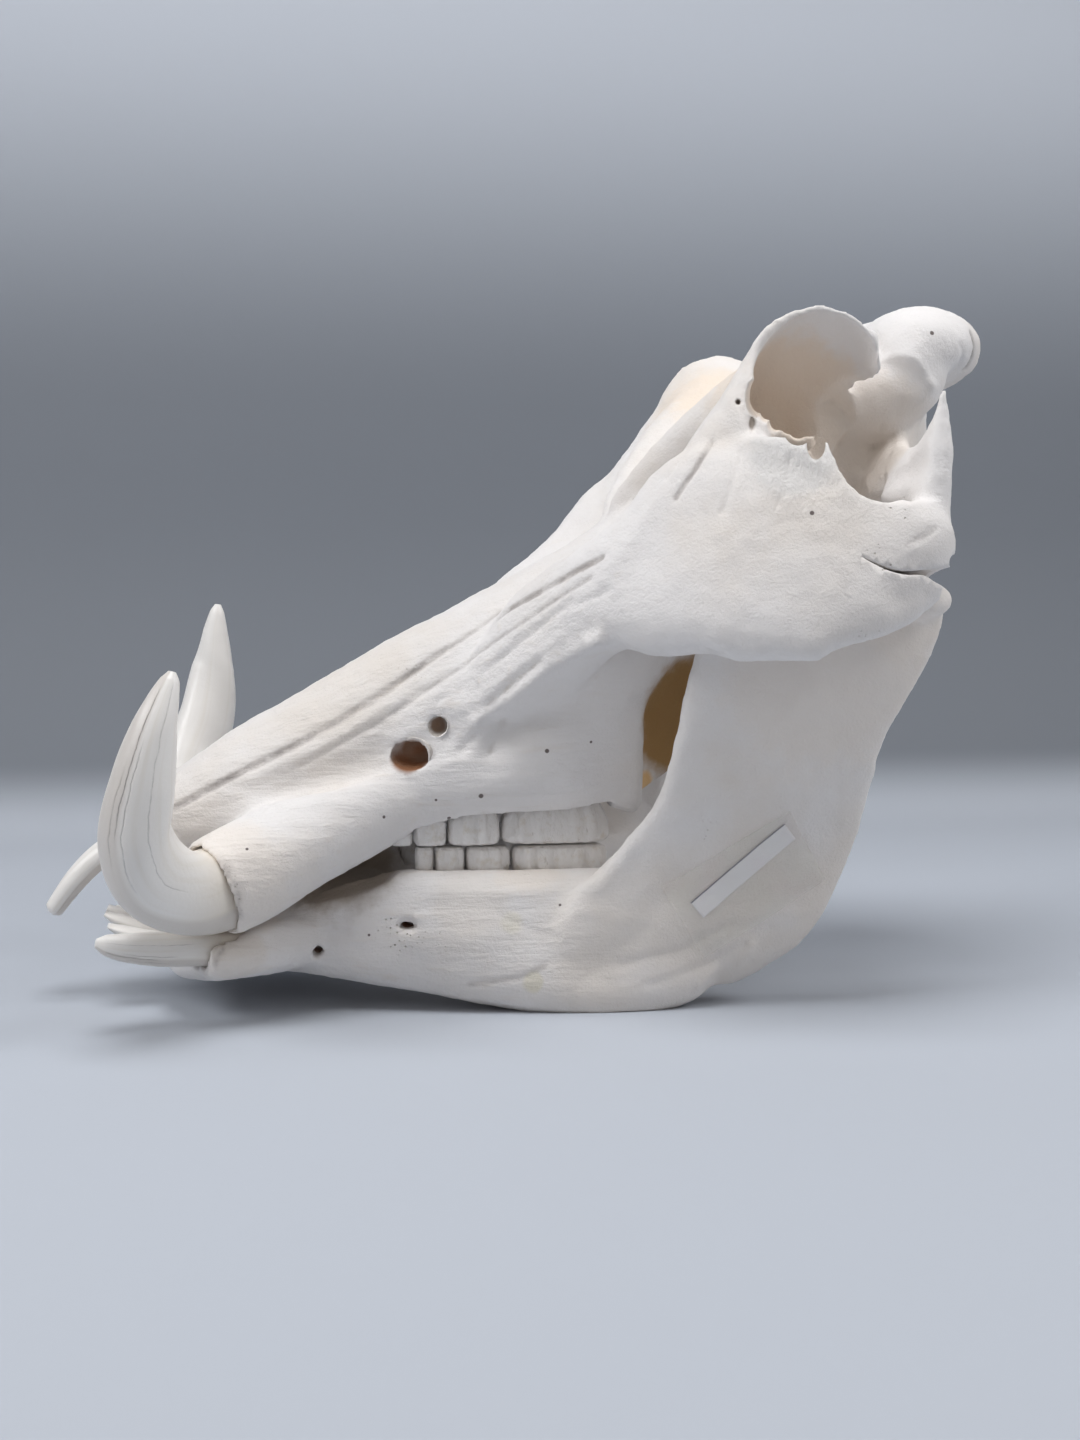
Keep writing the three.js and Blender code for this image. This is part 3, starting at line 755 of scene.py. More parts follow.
def makeCraniumShape():
    solid = bmesh.new()
    loft(solid, cranium["faceAndBraincase"], "x", sides=56)
    loft(solid, cranium["nuchalCrest"], "y", sides=32)
    pairedForms = [
        ("canineSocketWall", "path", 40),
        ("zygomaticArch", "path", 40),
        ("squamosalSpike", "z", 20),
        ("fossaRearWall", "y", 40),
        ("jawJointRoof", "y", 40),
        ("parietalWall", "x", 40),
        ("rimHook", "z", 20),
        ("browHood", "y", 48),
        ("occipitalCondyle", "x", 40),
        ("paroccipitalProcess", "z", 20),
        ("pterygoidPlate", "x", 40),
        ("lacrimalBlock", "z", 40),
        ("toothRidge", "x", 40),
        ("maxillaWall", "x", 40),
    ]
    for flank in (left, right):
        loftAll(solid, cranium, flank, pairedForms)
    hollows = bmesh.new()
    loft(hollows, cranium["hollowUnderCrest"], "x")
    loft(hollows, cranium["spinalOpening"], "x", sides=24)
    loft(hollows, cranium["nasalOpening"], "x", sides=24)
    pairedHollows = [
        ("eyeSocket", "y", 40),
        ("gapBehindEye", "y", 40),
        ("fossaBelowEye", "z", 40),
        ("gapBehindBraincase", "x", 40),
        ("archNotch", "y", 40),
        ("infraorbitalForamen", "y", 20),
        ("smallForamen", "y", 16),
    ]
    for flank in (left, right):
        loftAll(hollows, cranium, flank, pairedHollows)
        loft(hollows, grown(upperTusk(flank), socketGap["upperTusk"]), flank=flank, sides=32)
        loft(hollows, grown(frontTeeth["upper_incisor"], socketGap["tooth"]), flank=flank, sides=16)
        rootTrough(hollows, "upper", flank)
    return carvedBone("cranium", solid, hollows)


rimDamage = [
    # a pixel of the photograph, the y where the rod starts and ends, half width, half height
    [(757, 398), -104, -54, 4.6, 7.5],
    [(764, 372), -104, -54, 4.6, 7.0],
    [(752, 422), -102, -70, 2.2, 4.4],
    [(738, 402), -92, -66, 1.3, 1.3],
    [(766, 412), -104, -60, 4.0, 4.6],
    [(776, 424), -104, -60, 4.0, 4.4],
    [(798, 434), -104, -60, 5.0, 4.2],
    [(816, 444), -106, -62, 3.6, 5.6],
    [(830, 436), -106, -62, 3.4, 2.6],
    [(956, 577), -130, -58, 2.6, 3.2],
    [(957, 600), -130, -60, 6.5, 7.5],
    [(944, 624), -130, -66, 6.0, 6.0],
    [(954, 563), -130, -70, 1.8, 3.0],
    [(628, 823), -75, -8, 5.6, 3.2],
]


def sightRod(bm, pixel, start, end, halfWidth, halfHeight):
    # A rod along the sight line, from one y to another, thinner towards its end
    origin, ahead = sightLine(*pixel)
    origin, ahead = drawn(origin), np.array(ahead)
    stations = []
    for y, share in ((start, 1), (start * 0.3 + end * 0.7, 0.95), (end, 0.4)):
        spot = origin + ahead * (y - origin[1]) / ahead[1]
        stations.append([*spot, halfWidth * share, halfHeight * share])
    loft(bm, stations, "y", sides=18, rowsBetween=4)


def breakRim(piece):
    bm = bmesh.new()
    for flank in (left, right):
        loft(bm, cranium["cheekSuture"], "x", flank, sides=24)
    cutter = asObject("rimDamage", bm)
    for damage in rimDamage:
        bm = bmesh.new()
        sightRod(bm, *damage)
        cutter = combined(cutter, asObject("rod", bm), "UNION")
    return combined(piece, cutter, "DIFFERENCE")


craniumBone = makeCraniumShape()
print("cranium formed", len(craniumBone.data.vertices))

craniumRelief = {
    # name: [pixels of the photograph, width, depth]
    "nasalSeam": [
        [(174, 808), (230, 778), (295, 745), (368, 704), (445, 649), (505, 612), (560, 580), (602, 558)],
        1.3,
        1.0,
    ],
    "seamStreakA": [[(300, 765), (380, 722), (470, 660), (540, 610), (590, 578)], 1.1, 0.6],
    "seamStreakB": [[(350, 712), (430, 662), (500, 612)], 1.1, 0.6],
    "seamStreakC": [[(440, 700), (500, 660), (560, 612), (610, 590)], 1.1, 0.6],
    "seamStreakD": [[(460, 690), (520, 640), (572, 600)], 1.0, 0.5],
    "seamEdge": [[(250, 780), (330, 742), (420, 685), (480, 645)], 2.2, -0.7],
    "snoutHollow": [[(300, 790), (380, 760), (440, 735)], 9, 2.6],
    "socketRing": [[(188, 846), (206, 852), (226, 868), (238, 892), (241, 920)], 1.2, 0.5],
    "socketRingB": [[(206, 846), (232, 862), (246, 890)], 1.4, -0.5],
    "cheekRidge": [[(602, 638), (575, 652), (548, 668), (510, 700), (478, 722)], 3.2, -2.6],
    "cheekRidgeB": [[(560, 640), (520, 668), (480, 700), (455, 712)], 3.2, -1.2],
    "cheekPitA": [[(540, 662), (515, 682), (490, 705)], 2, 1.2],
    "cheekPitB": [[(505, 705), (480, 728), (462, 750)], 2, 1.0],
    "cheekPitC": [[(520, 700), (500, 725), (490, 750)], 2.5, 0.8],
    "underRidge": [[(606, 662), (566, 688), (524, 722), (494, 748)], 7, 2.2],
    "rootPeak": [[(592, 640), (602, 634), (612, 640)], 2.4, -1.8],
    "foramenLip": [[(398, 768), (420, 772), (445, 764)], 4, -0.7],
    "foramenShelf": [[(395, 735), (420, 730), (440, 738)], 3, -0.8],
    "orbitGrooveA": [[(712, 441), (695, 470), (676, 498)], 1.0, 0.9],
    "orbitGrooveB": [[(742, 448), (734, 480), (722, 512)], 1.0, 0.6],
    "orbitGrooveC": [[(790, 455), (786, 485), (778, 505)], 1.0, 0.5],
    "orbitGrooveD": [[(700, 430), (680, 462), (668, 480)], 1.0, 0.5],
    "rimSwell": [[(728, 395), (738, 418), (752, 440), (790, 444), (812, 452)], 3, -0.8],
    "lowRimDip": [[(722, 440), (748, 462), (796, 470), (826, 486)], 5, 0.8],
    "faceRidge": [[(690, 455), (660, 500), (632, 540), (604, 575)], 4.5, -1.0],
    "crestStep": [[(885, 359), (900, 355), (915, 359), (926, 375), (933, 386)], 1.8, -1.0],
    "crestFold": [[(972, 335), (974, 350), (966, 368), (954, 386)], 1.6, 1.6],
    "crestFoldB": [[(962, 345), (962, 360), (950, 378)], 1.4, 0.9],
    "crestDish": [[(905, 335), (930, 350), (948, 362)], 7, 1.4],
    "brainSeamA": [[(884, 390), (880, 430), (872, 470)], 1.3, 0.5],
    "brainSeamB": [[(900, 400), (893, 440), (884, 478)], 1.3, 0.5],
    "archBulb": [[(905, 540), (930, 540)], 9, -1.0],
    "archRim": [[(855, 474), (878, 494), (905, 506), (930, 503)], 2.5, -0.8],
    "bulbSeam": [[(905, 545), (922, 538), (935, 528)], 1.2, 0.5],
    "facet": [[(905, 602), (925, 592)], 8, 1.5],
    "socketTubeTop": [[(255, 812), (320, 800), (380, 782)], 7, -1.5],
}
dirtyCraniumLines = ["nasalSeam", "seamStreakA", "seamStreakB", "socketRing"]
dirtyCraniumLines += ["bulbSeam", "crestFold", "orbitGrooveA"]
carveLines(craniumBone, craniumRelief, dirtyCraniumLines)
roughen(craniumBone, boneSurface["cranium"]["unevenness"])
craniumBone = breakRim(craniumBone)
print("cranium relief carved")

# Mandible

mandible = {
    "chin": [
        [-145, 0, 21, 32, 3, 2.6],
        [-138, 0, 20.5, 43, 9, 2.8],
        [-125, 0, 21.5, 48, 11.5, 2.8],
        [-106, 0, 25, 41, 13.5, 2.8],
        [-82, 0, 28, 34, 16.5, 2.8],
        [-61, 0, 30.5, 33, 13, 2.6],
        [-52, 0, 31, 28, 6, 2.4],
    ],
    "jawBody": [
        [-104, 27, 25, 8, 11, 2.4, 0],
        [-82, 31, 27.5, 10.5, 17, 2.6, 2],
        [-60, 35, 29, 11, 22, 2.6, 6],
        [-34, 39, 26.5, 12, 24.5, 2.8, 11],
        [-6, 43, 24, 12.5, 27, 2.8, 14],
        [24, 46.5, 23.5, 12, 28, 2.8, 12],
        [48, 50, 27.5, 9.5, 26, 2.6, 7],
        [67, 52, 33, 4, 14, 2.4, 6],
    ],
    "ramus": [
        [23, 48, 7, 43, 7, 2.6],
        [38, 50.5, 20, 50, 9.5, 2.8],
        [47, 52.5, 33, 51, 9, 3],
        [55, 54, 46, 49, 7.4, 3.2],
        [65, 57, 62, 44.5, 6, 3.4],
        [72.5, 62, 80, 40, 5.6, 3.6],
        [76, 66.5, 98, 39.5, 5.4, 3.6],
        [80.5, 70, 113, 42, 5.4, 3.6],
        [86.5, 72.5, 129, 44.5, 5.2, 3.6],
        [90.5, 73.5, 142, 45, 4.6, 3.4],
        [92, 73.5, 150, 42, 3.2, 3],
    ],
    "lowerSocketWall": [
        [-92, 36, 26, 9, 9.5],
        [-108, 43, 25, 10.5, 9.5],
        [-120, 48, 23.4, 11, 8],
        [-130, 51.5, 23.6, 10.4, 7.6],
    ],
    "coronoidProcess": [
        [72, 72, 142, 15, 4.4, 2.6],
        [73, 71, 156, 12, 3.8, 2.6],
        [75, 69, 168, 8, 3, 2.4],
        [77, 68, 175, 3, 1.6],
    ],
    "jawCondyle": [
        [123, 64, 148.5, 3, 3],
        [124.5, 68, 149.5, 8, 5.4],
        [126, 77, 150, 9.5, 6.4],
        [125.5, 85, 149.5, 8.5, 6],
        [123.5, 90, 148, 3.5, 3],
    ],
    "edgeBeforeTeeth": [
        [-98, 44, 45, 17, 7, 3.6],
        [-85, 44, 47.5, 17, 7.5, 3.6],
        [-74, 44, 50.5, 17, 7.5, 3.6],
        [-65, 43, 54.5, 16, 8, 3.6],
        [-58.5, 42, 59, 15, 8, 3.6],
        [-54.5, 41, 63, 14, 7, 3.6],
    ],
    "gapBehindCoronoid": [
        [97, 60, 160, 12, 11],
        [97, 90, 160, 12, 11],
    ],
    "mentalForamen": [
        [-58, 60, 31.5, 4.6, 2.6],
        [-56, 42, 32, 4.2, 2.4],
        [-53, 34, 32.5, 3, 2],
    ],
    "frontMentalForamen": [
        [-90, 54, 22.5, 2.6, 2.6],
        [-89, 38, 23, 2.4, 2.4],
        [-88, 30, 23.5, 2, 2],
    ],
}


def makeMandibleShape():
    solid = bmesh.new()
    loft(solid, mandible["chin"], "x", sides=48)
    pairedForms = [
        ("jawBody", "x", 40),
        ("ramus", "z", 40),
        ("lowerSocketWall", "path", 40),
        ("coronoidProcess", "z", 24),
        ("jawCondyle", "y", 24),
    ]
    for flank in (left, right):
        loftAll(solid, mandible, flank, pairedForms)
    hollows = bmesh.new()
    for flank in (left, right):
        loft(hollows, mandible["gapBehindCoronoid"], "y", flank, rowsBetween=2)
        loft(hollows, mandible["edgeBeforeTeeth"], "x", flank, rowsBetween=4)
        loft(hollows, mandible["mentalForamen"], "y", flank, sides=20)
        loft(hollows, mandible["frontMentalForamen"], "y", flank, sides=16)
        loft(hollows, grown(tusks["lower"], socketGap["lowerTusk"]), flank=flank, sides=24)
        for name in ("lower_first_incisor", "lower_second_incisor"):
            loft(hollows, grown(frontTeeth[name], socketGap["tooth"]), flank=flank, sides=16)
        rootTrough(hollows, "lower", flank)
    bone = carvedBone("mandible", solid, hollows)
    spots = vertexSpots(bone)
    spots[:, 2] = np.maximum(spots[:, 2], 0)  # worn level where it stands
    moveVertices(bone, spots)
    return bone


mandibleBone = makeMandibleShape()
print("mandible formed", len(mandibleBone.data.vertices))

mandibleRelief = {
    # name: [pixels of the photograph, width, depth]
    "toothShelf": [[(430, 890), (500, 892), (560, 892), (600, 885)], 3.5, -0.9],
    "cheekSwell": [[(420, 930), (450, 938), (480, 940)], 9, -1.6],
    "lowerStreakA": [[(620, 965), (680, 950), (730, 925)], 1.6, 0.5],
    "lowerStreakB": [[(650, 985), (700, 968), (745, 945)], 1.5, 0.5],
    "lowerStreakC": [[(590, 975), (640, 930), (680, 880)], 5, 0.7],
    "angleScarA": [[(740, 965), (752, 945)], 1.8, -0.9],
    "angleScarB": [[(700, 985), (715, 968)], 1.8, -0.8],
    "chinGroove": [[(240, 945), (290, 940), (340, 935)], 3, 0.7],
    "ramusRim": [[(668, 760), (655, 800), (632, 845), (606, 876)], 3, -0.9],
    "socketCrack": [[(196, 968), (206, 952), (222, 932)], 1.2, 1.0],
    "chinSeam": [[(214, 966), (222, 950), (236, 938)], 1.1, 0.6],
    "bodyCrackA": [[(500, 915), (530, 930), (560, 938)], 1.1, 0.4],
    "bodyCrackB": [[(470, 985), (520, 978), (545, 966)], 1.2, 0.5],
}
carveLines(mandibleBone, mandibleRelief, ["socketCrack", "chinSeam", "bodyCrackB"])
roughen(mandibleBone, boneSurface["mandible"]["unevenness"])
print("mandible relief carved")

# Materials


class Wire:
    # One output of a material's nodes, with arithmetic

    def __init__(self, paint, socket):
        self.paint = paint
        self.socket = socket

    def __add__(self, other):
        return self.paint.sum("ADD", self, other)

    def __sub__(self, other):
        return self.paint.sum("SUBTRACT", self, other)

    def __rsub__(self, other):
        return self.paint.sum("SUBTRACT", other, self)

    def __mul__(self, other):
        return self.paint.sum("MULTIPLY", self, other)

    __radd__ = __add__
    __rmul__ = __mul__


class Paint:
    # One material and the nodes that colour it

    def __init__(self, name, roughness, specular):
        self.material = bpy.data.materials.new(name)
        self.material.use_nodes = True
        self.nodes = self.material.node_tree.nodes
        self.links = self.material.node_tree.links
        self.shader = self.nodes["Principled BSDF"]
        self.shader.inputs["Roughness"].default_value = roughness
        self.shader.inputs["Specular IOR Level"].default_value = specular
        here = self.node("ShaderNodeTexCoord", output="Object")
        # self.here is the place on the object, in millimetres
        self.here = self.node(
            "ShaderNodeVectorMath", {"operation": "SCALE"}, {"Vector": here, "Scale": 1 / mm}
        )

    def plug(self, socket, value):
        if isinstance(value, Wire):
            self.links.new(value.socket, socket)
        else:
            socket.default_value = value

    def node(self, kind, settings=None, inputs=None, output=0):
        # A node's kind, its settings, and the values or wires of its sockets
        made = self.nodes.new(kind)
        for name, value in (settings or {}).items():
            setattr(made, name, value)
        for name, value in (inputs or {}).items():
            self.plug(made.inputs[name], value)
        return Wire(self, made.outputs[output])

    def sum(self, operation, a, b=0.0):
        return self.node("ShaderNodeMath", {"operation": operation}, {0: a, 1: b})

    def ramp(self, value, low, high, start=0.0, end=1.0):
        # value from low to high, smoothly read as start to end
        return self.node(
            "ShaderNodeMapRange",
            {"interpolation_type": "SMOOTHSTEP"},
            {"Value": value, "From Min": low, "From Max": high, "To Min": start, "To Max": end},
        )

    def mix(self, a, b, factor):
        return self.node("ShaderNodeMix", {"data_type": "RGBA"}, {"Factor": factor, 6: a, 7: b}, 2)

    def part(self, vector, axis):
        # One number of a vector: 0, 1 or 2
        return self.node("ShaderNodeSeparateXYZ", None, {"Vector": vector}, axis)

    def moved(self, turn=(0, 0, 0), scale=(1, 1, 1)):
        # The place, turned and then stretched where the scale is small
        return self.node(
            "ShaderNodeMapping", None, {"Vector": self.here, "Rotation": turn, "Scale": scale}
        )

    def noise(self, scale, detail=3.0, roughness=0.55, at=None):
        return self.node(
            "ShaderNodeTexNoise",
            None,
            {"Vector": at or self.here, "Scale": scale, "Detail": detail, "Roughness": roughness},
        )

    def spot(self, centre, radius, softness=0.5):
        # 1 at a place of the skull, falling to 0 at the radius
        away = self.node(
            "ShaderNodeVectorMath",
            {"operation": "DISTANCE"},
            {0: self.here, 1: tuple(placed(centre) / mm)},
            output=1,
        )
        return self.ramp(away, radius * (1 - softness), radius, 1.0, 0.0)

    def attribute(self, name, output="Fac"):
        return self.node("ShaderNodeAttribute", {"attribute_name": name}, None, output)

    def bump(self, height, distance, normal=None):
        inputs = {"Height": height, "Distance": distance * mm, "Strength": 1.0}
        if normal:
            inputs["Normal"] = normal
        return self.node("ShaderNodeBump", None, inputs)

    def finish(self, colour, roughness=None, normal=None):
        self.plug(self.shader.inputs["Base Color"], colour)
        if roughness:
            self.plug(self.shader.inputs["Roughness"], roughness)
        if normal:
            self.plug(self.shader.inputs["Normal"], normal)
        return self.material


def tone(r, g, b):
    return (r, g, b, 1.0)


boneTones = {
    "bright": tone(0.86, 0.83, 0.81),
    "cream": tone(0.81, 0.75, 0.69),
    "beige": tone(0.86, 0.78, 0.7),
    "tan": tone(0.85, 0.73, 0.61),
    "grey": tone(0.7, 0.68, 0.66),
    # painted shade, with dirt in the hollows
    "paintedShadeAndDirt": tone(0.42, 0.35, 0.28),
    "soil": tone(0.4, 0.36, 0.34),
    # painted shade inside the small pits
    "pit": tone(0.16, 0.13, 0.12),
    "stain": tone(0.4, 0.22, 0.06),
    "orange": tone(0.85, 0.5, 0.14),
    # painted shade deep inside the foramina
    "deep": tone(0.3, 0.14, 0.07),
    "yellow": tone(0.72, 0.66, 0.42),
}


def bonePaint(name, stainsAndShade, pores, pinholes):
    paint = Paint(name, roughness=0.62, specular=0.35)
    patches = paint.noise(0.012, 4.0)
    mottle = paint.noise(0.06, 5.0, 0.6)
    snoutSlope = (0, math.radians(32), 0)
    grain = paint.noise(1.0, 4.0, 0.6, paint.moved(snoutSlope, (0.02, 0.22, 0.22)))
    snout = paint.ramp(paint.part(paint.here, 0), -10, 50, 1.0, 0.1)
    colour = paint.mix(boneTones["bright"], boneTones["cream"], paint.ramp(patches, 0.42, 0.68))
    colour = paint.mix(colour, boneTones["grey"], paint.ramp(mottle, 0.55, 0.85, 0.0, 0.35))
    colour = paint.mix(colour, boneTones["cream"], paint.ramp(grain, 0.55, 0.75, 0.0, 0.5) * snout)
    # Stains, and patches of painted shade
    for centre, radius, kind, strength in stainsAndShade:
        blot = paint.spot(centre, radius, 0.7)
        edge = paint.ramp(blot + paint.noise(0.15, 3.0) * 0.6, 0.5, 1.1, 0.0, strength)
        colour = paint.mix(colour, boneTones[kind], edge)
    # Hollows painted darker: painted shade, with dirt
    hollow = paint.attribute("hollow")
    colour = paint.mix(colour, boneTones["paintedShadeAndDirt"], paint.ramp(hollow, 0.3, 1.0, 0.0, 0.45))
    soil = paint.attribute("soil")
    speckle = paint.ramp(paint.noise(0.12, 4.0), 0.35, 0.6, 0.45, 1.0)
    colour = paint.mix(colour, boneTones["soil"], paint.ramp(soil, 0.1, 0.8, 0.0, 0.85) * speckle)
    # Pores painted dark, the painted shade inside them, and bumped in
    pits = paint.node("ShaderNodeTexVoronoi", None, {"Vector": paint.here, "Scale": 0.5}, "Distance")
    porous = paint.ramp(paint.noise(0.03, 2.0), 0.62, 0.75, 0.0, 0.5)
    for centre, radius in pores:
        porous = paint.sum("MAXIMUM", porous, paint.spot(centre, radius))
    pit = paint.ramp(pits, 0.08, 0.24, 1.0, 0.0) * porous
    colour = paint.mix(colour, boneTones["paintedShadeAndDirt"], pit * 0.6)
    # Small pits painted as near-black dots: painted shade
    pinhole = 0
    for centre, radius in pinholes:
        pinhole = paint.sum("MAXIMUM", paint.spot(centre, radius, 0.4), pinhole)
    colour = paint.mix(colour, boneTones["pit"], pinhole)
    normal = paint.bump(paint.noise(0.9, 6.0, 0.65), 0.35)
    normal = paint.bump(grain * snout, 1.0, normal)
    rays = paint.noise(1.0, 3.0, 0.6, paint.moved((0, math.radians(-20), 0), (0.4, 0.4, 0.035)))
    underOrbit = paint.spot((74, -95, 195), 34, 0.8)
    normal = paint.bump(rays * underOrbit, 0.9, normal)
    normal = paint.bump(1 - pit, 0.5, normal)
    return paint.finish(colour, paint.ramp(mottle, 0.3, 0.8, 0.55, 0.75), normal)


# Small pits, as pixels of the photograph; each is painted as a near-black dot, the painted shade inside
# it
craniumPits = [(547, 751), (591, 742), (481, 796), (384, 817), (449, 818), (247, 849), (932, 333)]
craniumPits += [(812, 513), (436, 800)]
mandiblePits = [(369, 935), (560, 905)]


def pitSpots(piece, pixels):
    # Where the pits lie on the piece, each with its own radius
    found = traced(surfaceTree(piece), pixels)
    return [(tuple(spot), 0.85 + 0.25 * math.sin(spot[0])) for spot in found]


craniumStainsAndShade = [
    # centre, radius, kind, strength; stains, and patches of painted shade
    ((84, -44, 220), 42, "tan", 0.9),
    ((84, 44, 220), 42, "tan", 0.9),
    ((118, -40, 210), 40, "beige", 0.75),
    ((118, 40, 210), 40, "beige", 0.75),
    ((52, -25, 106), 38, "stain", 0.95),
    ((52, 25, 106), 38, "stain", 0.8),
    ((34, -27, 82), 7, "orange", 0.8),
    # Painted shade deep inside the foramina
    ((-55, -36, 92), 10, "deep", 1.0),
    ((-46, -32, 104), 4, "deep", 0.9),
    ((-52, 31, 94), 9, "deep", 1.0),
    ((-50, -29, 95), 12, "deep", 1.0),
    ((90, -96, 160), 50, "cream", 0.3),
    ((-45, -33, 104), 6, "deep", 0.9),
    # Painted shade on the palate, in the gap between the jaws
    ((-74, 8, 60), 42, "paintedShadeAndDirt", 0.8),
    ((70, -38, 236), 6, "orange", 0.75),
    ((-124, -62, 52), 36, "beige", 0.6),
    ((-104, -60, 52), 26, "cream", 0.5),
    ((-120, -50, 64), 8, "stain", 0.7),
    ((60, -86, 206), 9, "beige", 0.4),
    # Darker grey on the top of the cheek plate, under the eye socket
    ((72, -92, 202), 26, "grey", 0.8),
]
mandibleStainsAndShade = [
    # Painted shade deep inside the foramina
    ((-56, -40, 32), 5, "deep", 0.9),
    ((-89, -34, 23), 4, "deep", 0.8),
    ((-56, 40, 32), 5, "deep", 0.9),
    ((-20, -55, 34), 8, "yellow", 0.25),
    ((-12, -55, 12), 6, "yellow", 0.35),
    ((-34, -50, 42), 22, "cream", 0.5),
    ((-118, -56, 26), 16, "cream", 0.7),
    ((120, -78, 140), 22, "beige", 0.45),
    # Painted shade on the jaw between its two sides, under the palate
    ((-78, -16, 51), 42, "paintedShadeAndDirt", 0.95),
    ((-78, 16, 51), 42, "paintedShadeAndDirt", 0.95),
    # Warm tint over the ramus: partly the bone's warmer tone, partly painted warm shade under the cheek
    # plate
    ((90, -70, 128), 60, "beige", 0.55),
    ((-12, -46, 58), 24, "beige", 0.7),
    ((-110, -40, 30), 14, "beige", 0.6),
    ((80, -66, 150), 30, "beige", 0.3),
]
# Porous patches, where the pores are painted dark as painted shade: centre, radius
craniumPores = [((-122, -62, 50), 14), ((-122, 62, 50), 14), ((98, -108, 164), 7), ((104, -107, 180), 5)]
mandiblePores = [((-60, -46, 30), 10)]

ivoryTones = {
    "light": tone(0.87, 0.84, 0.8),
    "streak": tone(0.82, 0.78, 0.72),
    "root": tone(0.74, 0.64, 0.5),
    # painted shade of a facet down one side
    "facet": tone(0.66, 0.61, 0.56),
    "crack": tone(0.36, 0.34, 0.33),
}


# Cracks: degrees round from the side towards outward, how far along they start and end, strength
upperCracks = [
    [62, 0.5, 0.85, 0.75],
    [74, 0.42, 0.7, 0.5],
    [50, 0.45, 0.65, 0.45],
    [112, 0.35, 0.9, 0.35],
]
lowerCracks = [[60, 0.45, 0.8, 0.3]]


def tuskPaint(name, cracks):
    paint = Paint(name, roughness=0.36, specular=0.5)
    growth = paint.attribute("growth", "Vector")
    stretched = paint.node(
        "ShaderNodeVectorMath", {"operation": "MULTIPLY"}, {0: growth, 1: (2.2, 2.2, 1.2)}
    )
    streaks = paint.noise(1.6, 4.0, 0.55, stretched)
    sideways, outward, along = (paint.part(growth, axis) for axis in (0, 1, 2))
    colour = paint.mix(ivoryTones["light"], ivoryTones["streak"], paint.ramp(streaks, 0.45, 0.75))
    colour = paint.mix(colour, ivoryTones["root"], paint.ramp(along, 0.22, 0.38, 0.5, 0.0))
    # Painted shade of a facet: a darker band down one side of the tusk
    facet = paint.ramp(sideways, 0.3, 0.5, 0.0, 0.75) * paint.ramp(outward, 0.1, 0.4)
    colour = paint.mix(colour, ivoryTones["facet"], facet)
    wander = paint.noise(0.16, 3.0) - 0.5
    depth = 0
    for degrees, start, end, strength in cracks:
        turn = math.radians(degrees)
        miss = sideways * math.sin(turn) - outward * math.cos(turn) + wander * 0.16
        near = paint.sum("ABSOLUTE", miss)
        facing = paint.ramp(sideways * math.cos(turn) + outward * math.sin(turn), 0.1, 0.4)
        length = paint.ramp(along, start, start + 0.06) * paint.ramp(along, end - 0.06, end, 1.0, 0.0)
        line = paint.ramp(near, 0.0, 0.035, 1.0, 0.0) * facing * length * strength
        depth = paint.sum("MAXIMUM", line, depth)
    patchy = paint.ramp(paint.noise(0.3, 4.0), 0.35, 0.6, 0.3, 1.0)
    colour = paint.mix(colour, ivoryTones["crack"], depth * patchy)
    normal = paint.bump(paint.noise(0.6, 4.0), 0.12)
    normal = paint.bump(1 - depth, 0.35, normal)
    return paint.finish(colour, paint.ramp(streaks, 0.3, 0.8, 0.32, 0.4), normal)


enamelTones = {
    "light": tone(0.88, 0.85, 0.82),
    "worn": tone(0.76, 0.7, 0.62),
    "crease": tone(0.5, 0.45, 0.38),
}


def toothPaint():
    paint = Paint("enamel", roughness=0.35, specular=0.5)
    mottle = paint.noise(0.25, 4.0)
    colour = paint.mix(enamelTones["light"], enamelTones["worn"], paint.ramp(mottle, 0.5, 0.8))
    creases = paint.noise(0.3, 3.0, 0.6, paint.moved(scale=(1, 1, 0.5)))
    colour = paint.mix(colour, enamelTones["crease"], paint.ramp(creases, 0.28, 0.36, 0.5, 0.0))
    return paint.finish(colour, None, paint.bump(creases, 1.2))


craniumPitSpots = pitSpots(craniumBone, craniumPits)
mandiblePitSpots = pitSpots(mandibleBone, mandiblePits)
craniumPaint = bonePaint("bleachedBone", craniumStainsAndShade, craniumPores, craniumPitSpots)
mandiblePaint = bonePaint("jawBone", mandibleStainsAndShade, mandiblePores, mandiblePitSpots)
ivory = tuskPaint("tuskIvory", upperCracks)
wornTooth = tuskPaint("wornTooth", lowerCracks)
enamel = toothPaint()

storeHollows(craniumBone)
storeHollows(mandibleBone)
craniumBone = thinned(craniumBone, boneSurface["cranium"]["triangles"])
mandibleBone = thinned(mandibleBone, boneSurface["mandible"]["triangles"])
storeSoil(craniumBone)
storeSoil(mandibleBone)
finished(craniumBone, craniumPaint, "cranium_bone", "cranium")
finished(mandibleBone, mandiblePaint, "mandible_bone", "mandible")
print("bones finished")

# Tusks and teeth

tuskFinish = {
    # sides round, rows between stations, height of the three soft ridges
    "upper": (48, 14, 0.03),
    "lower": (36, 12, 0.06),
}


def makeTusk(row, stations, side, flank):
    sides, rowsBetween, ridgeHeight = tuskFinish[row]
    bm = bmesh.new()
    loft(bm, stations, "path", flank, sides, rowsBetween, ridges=(3, ridgeHeight))
    finished(asObject(f"{row}Tusk_{side}", bm), ivory, "tusk_ivory", f"{row}_tusk_{side}")


def makeFrontTooth(name, stations, side, flank):
    bm = bmesh.new()
    loft(bm, stations, flank=flank, sides=24)
    finished(asObject(f"{name}Tooth_{side}", bm), wornTooth, "front_tooth", f"{name}_{side}")


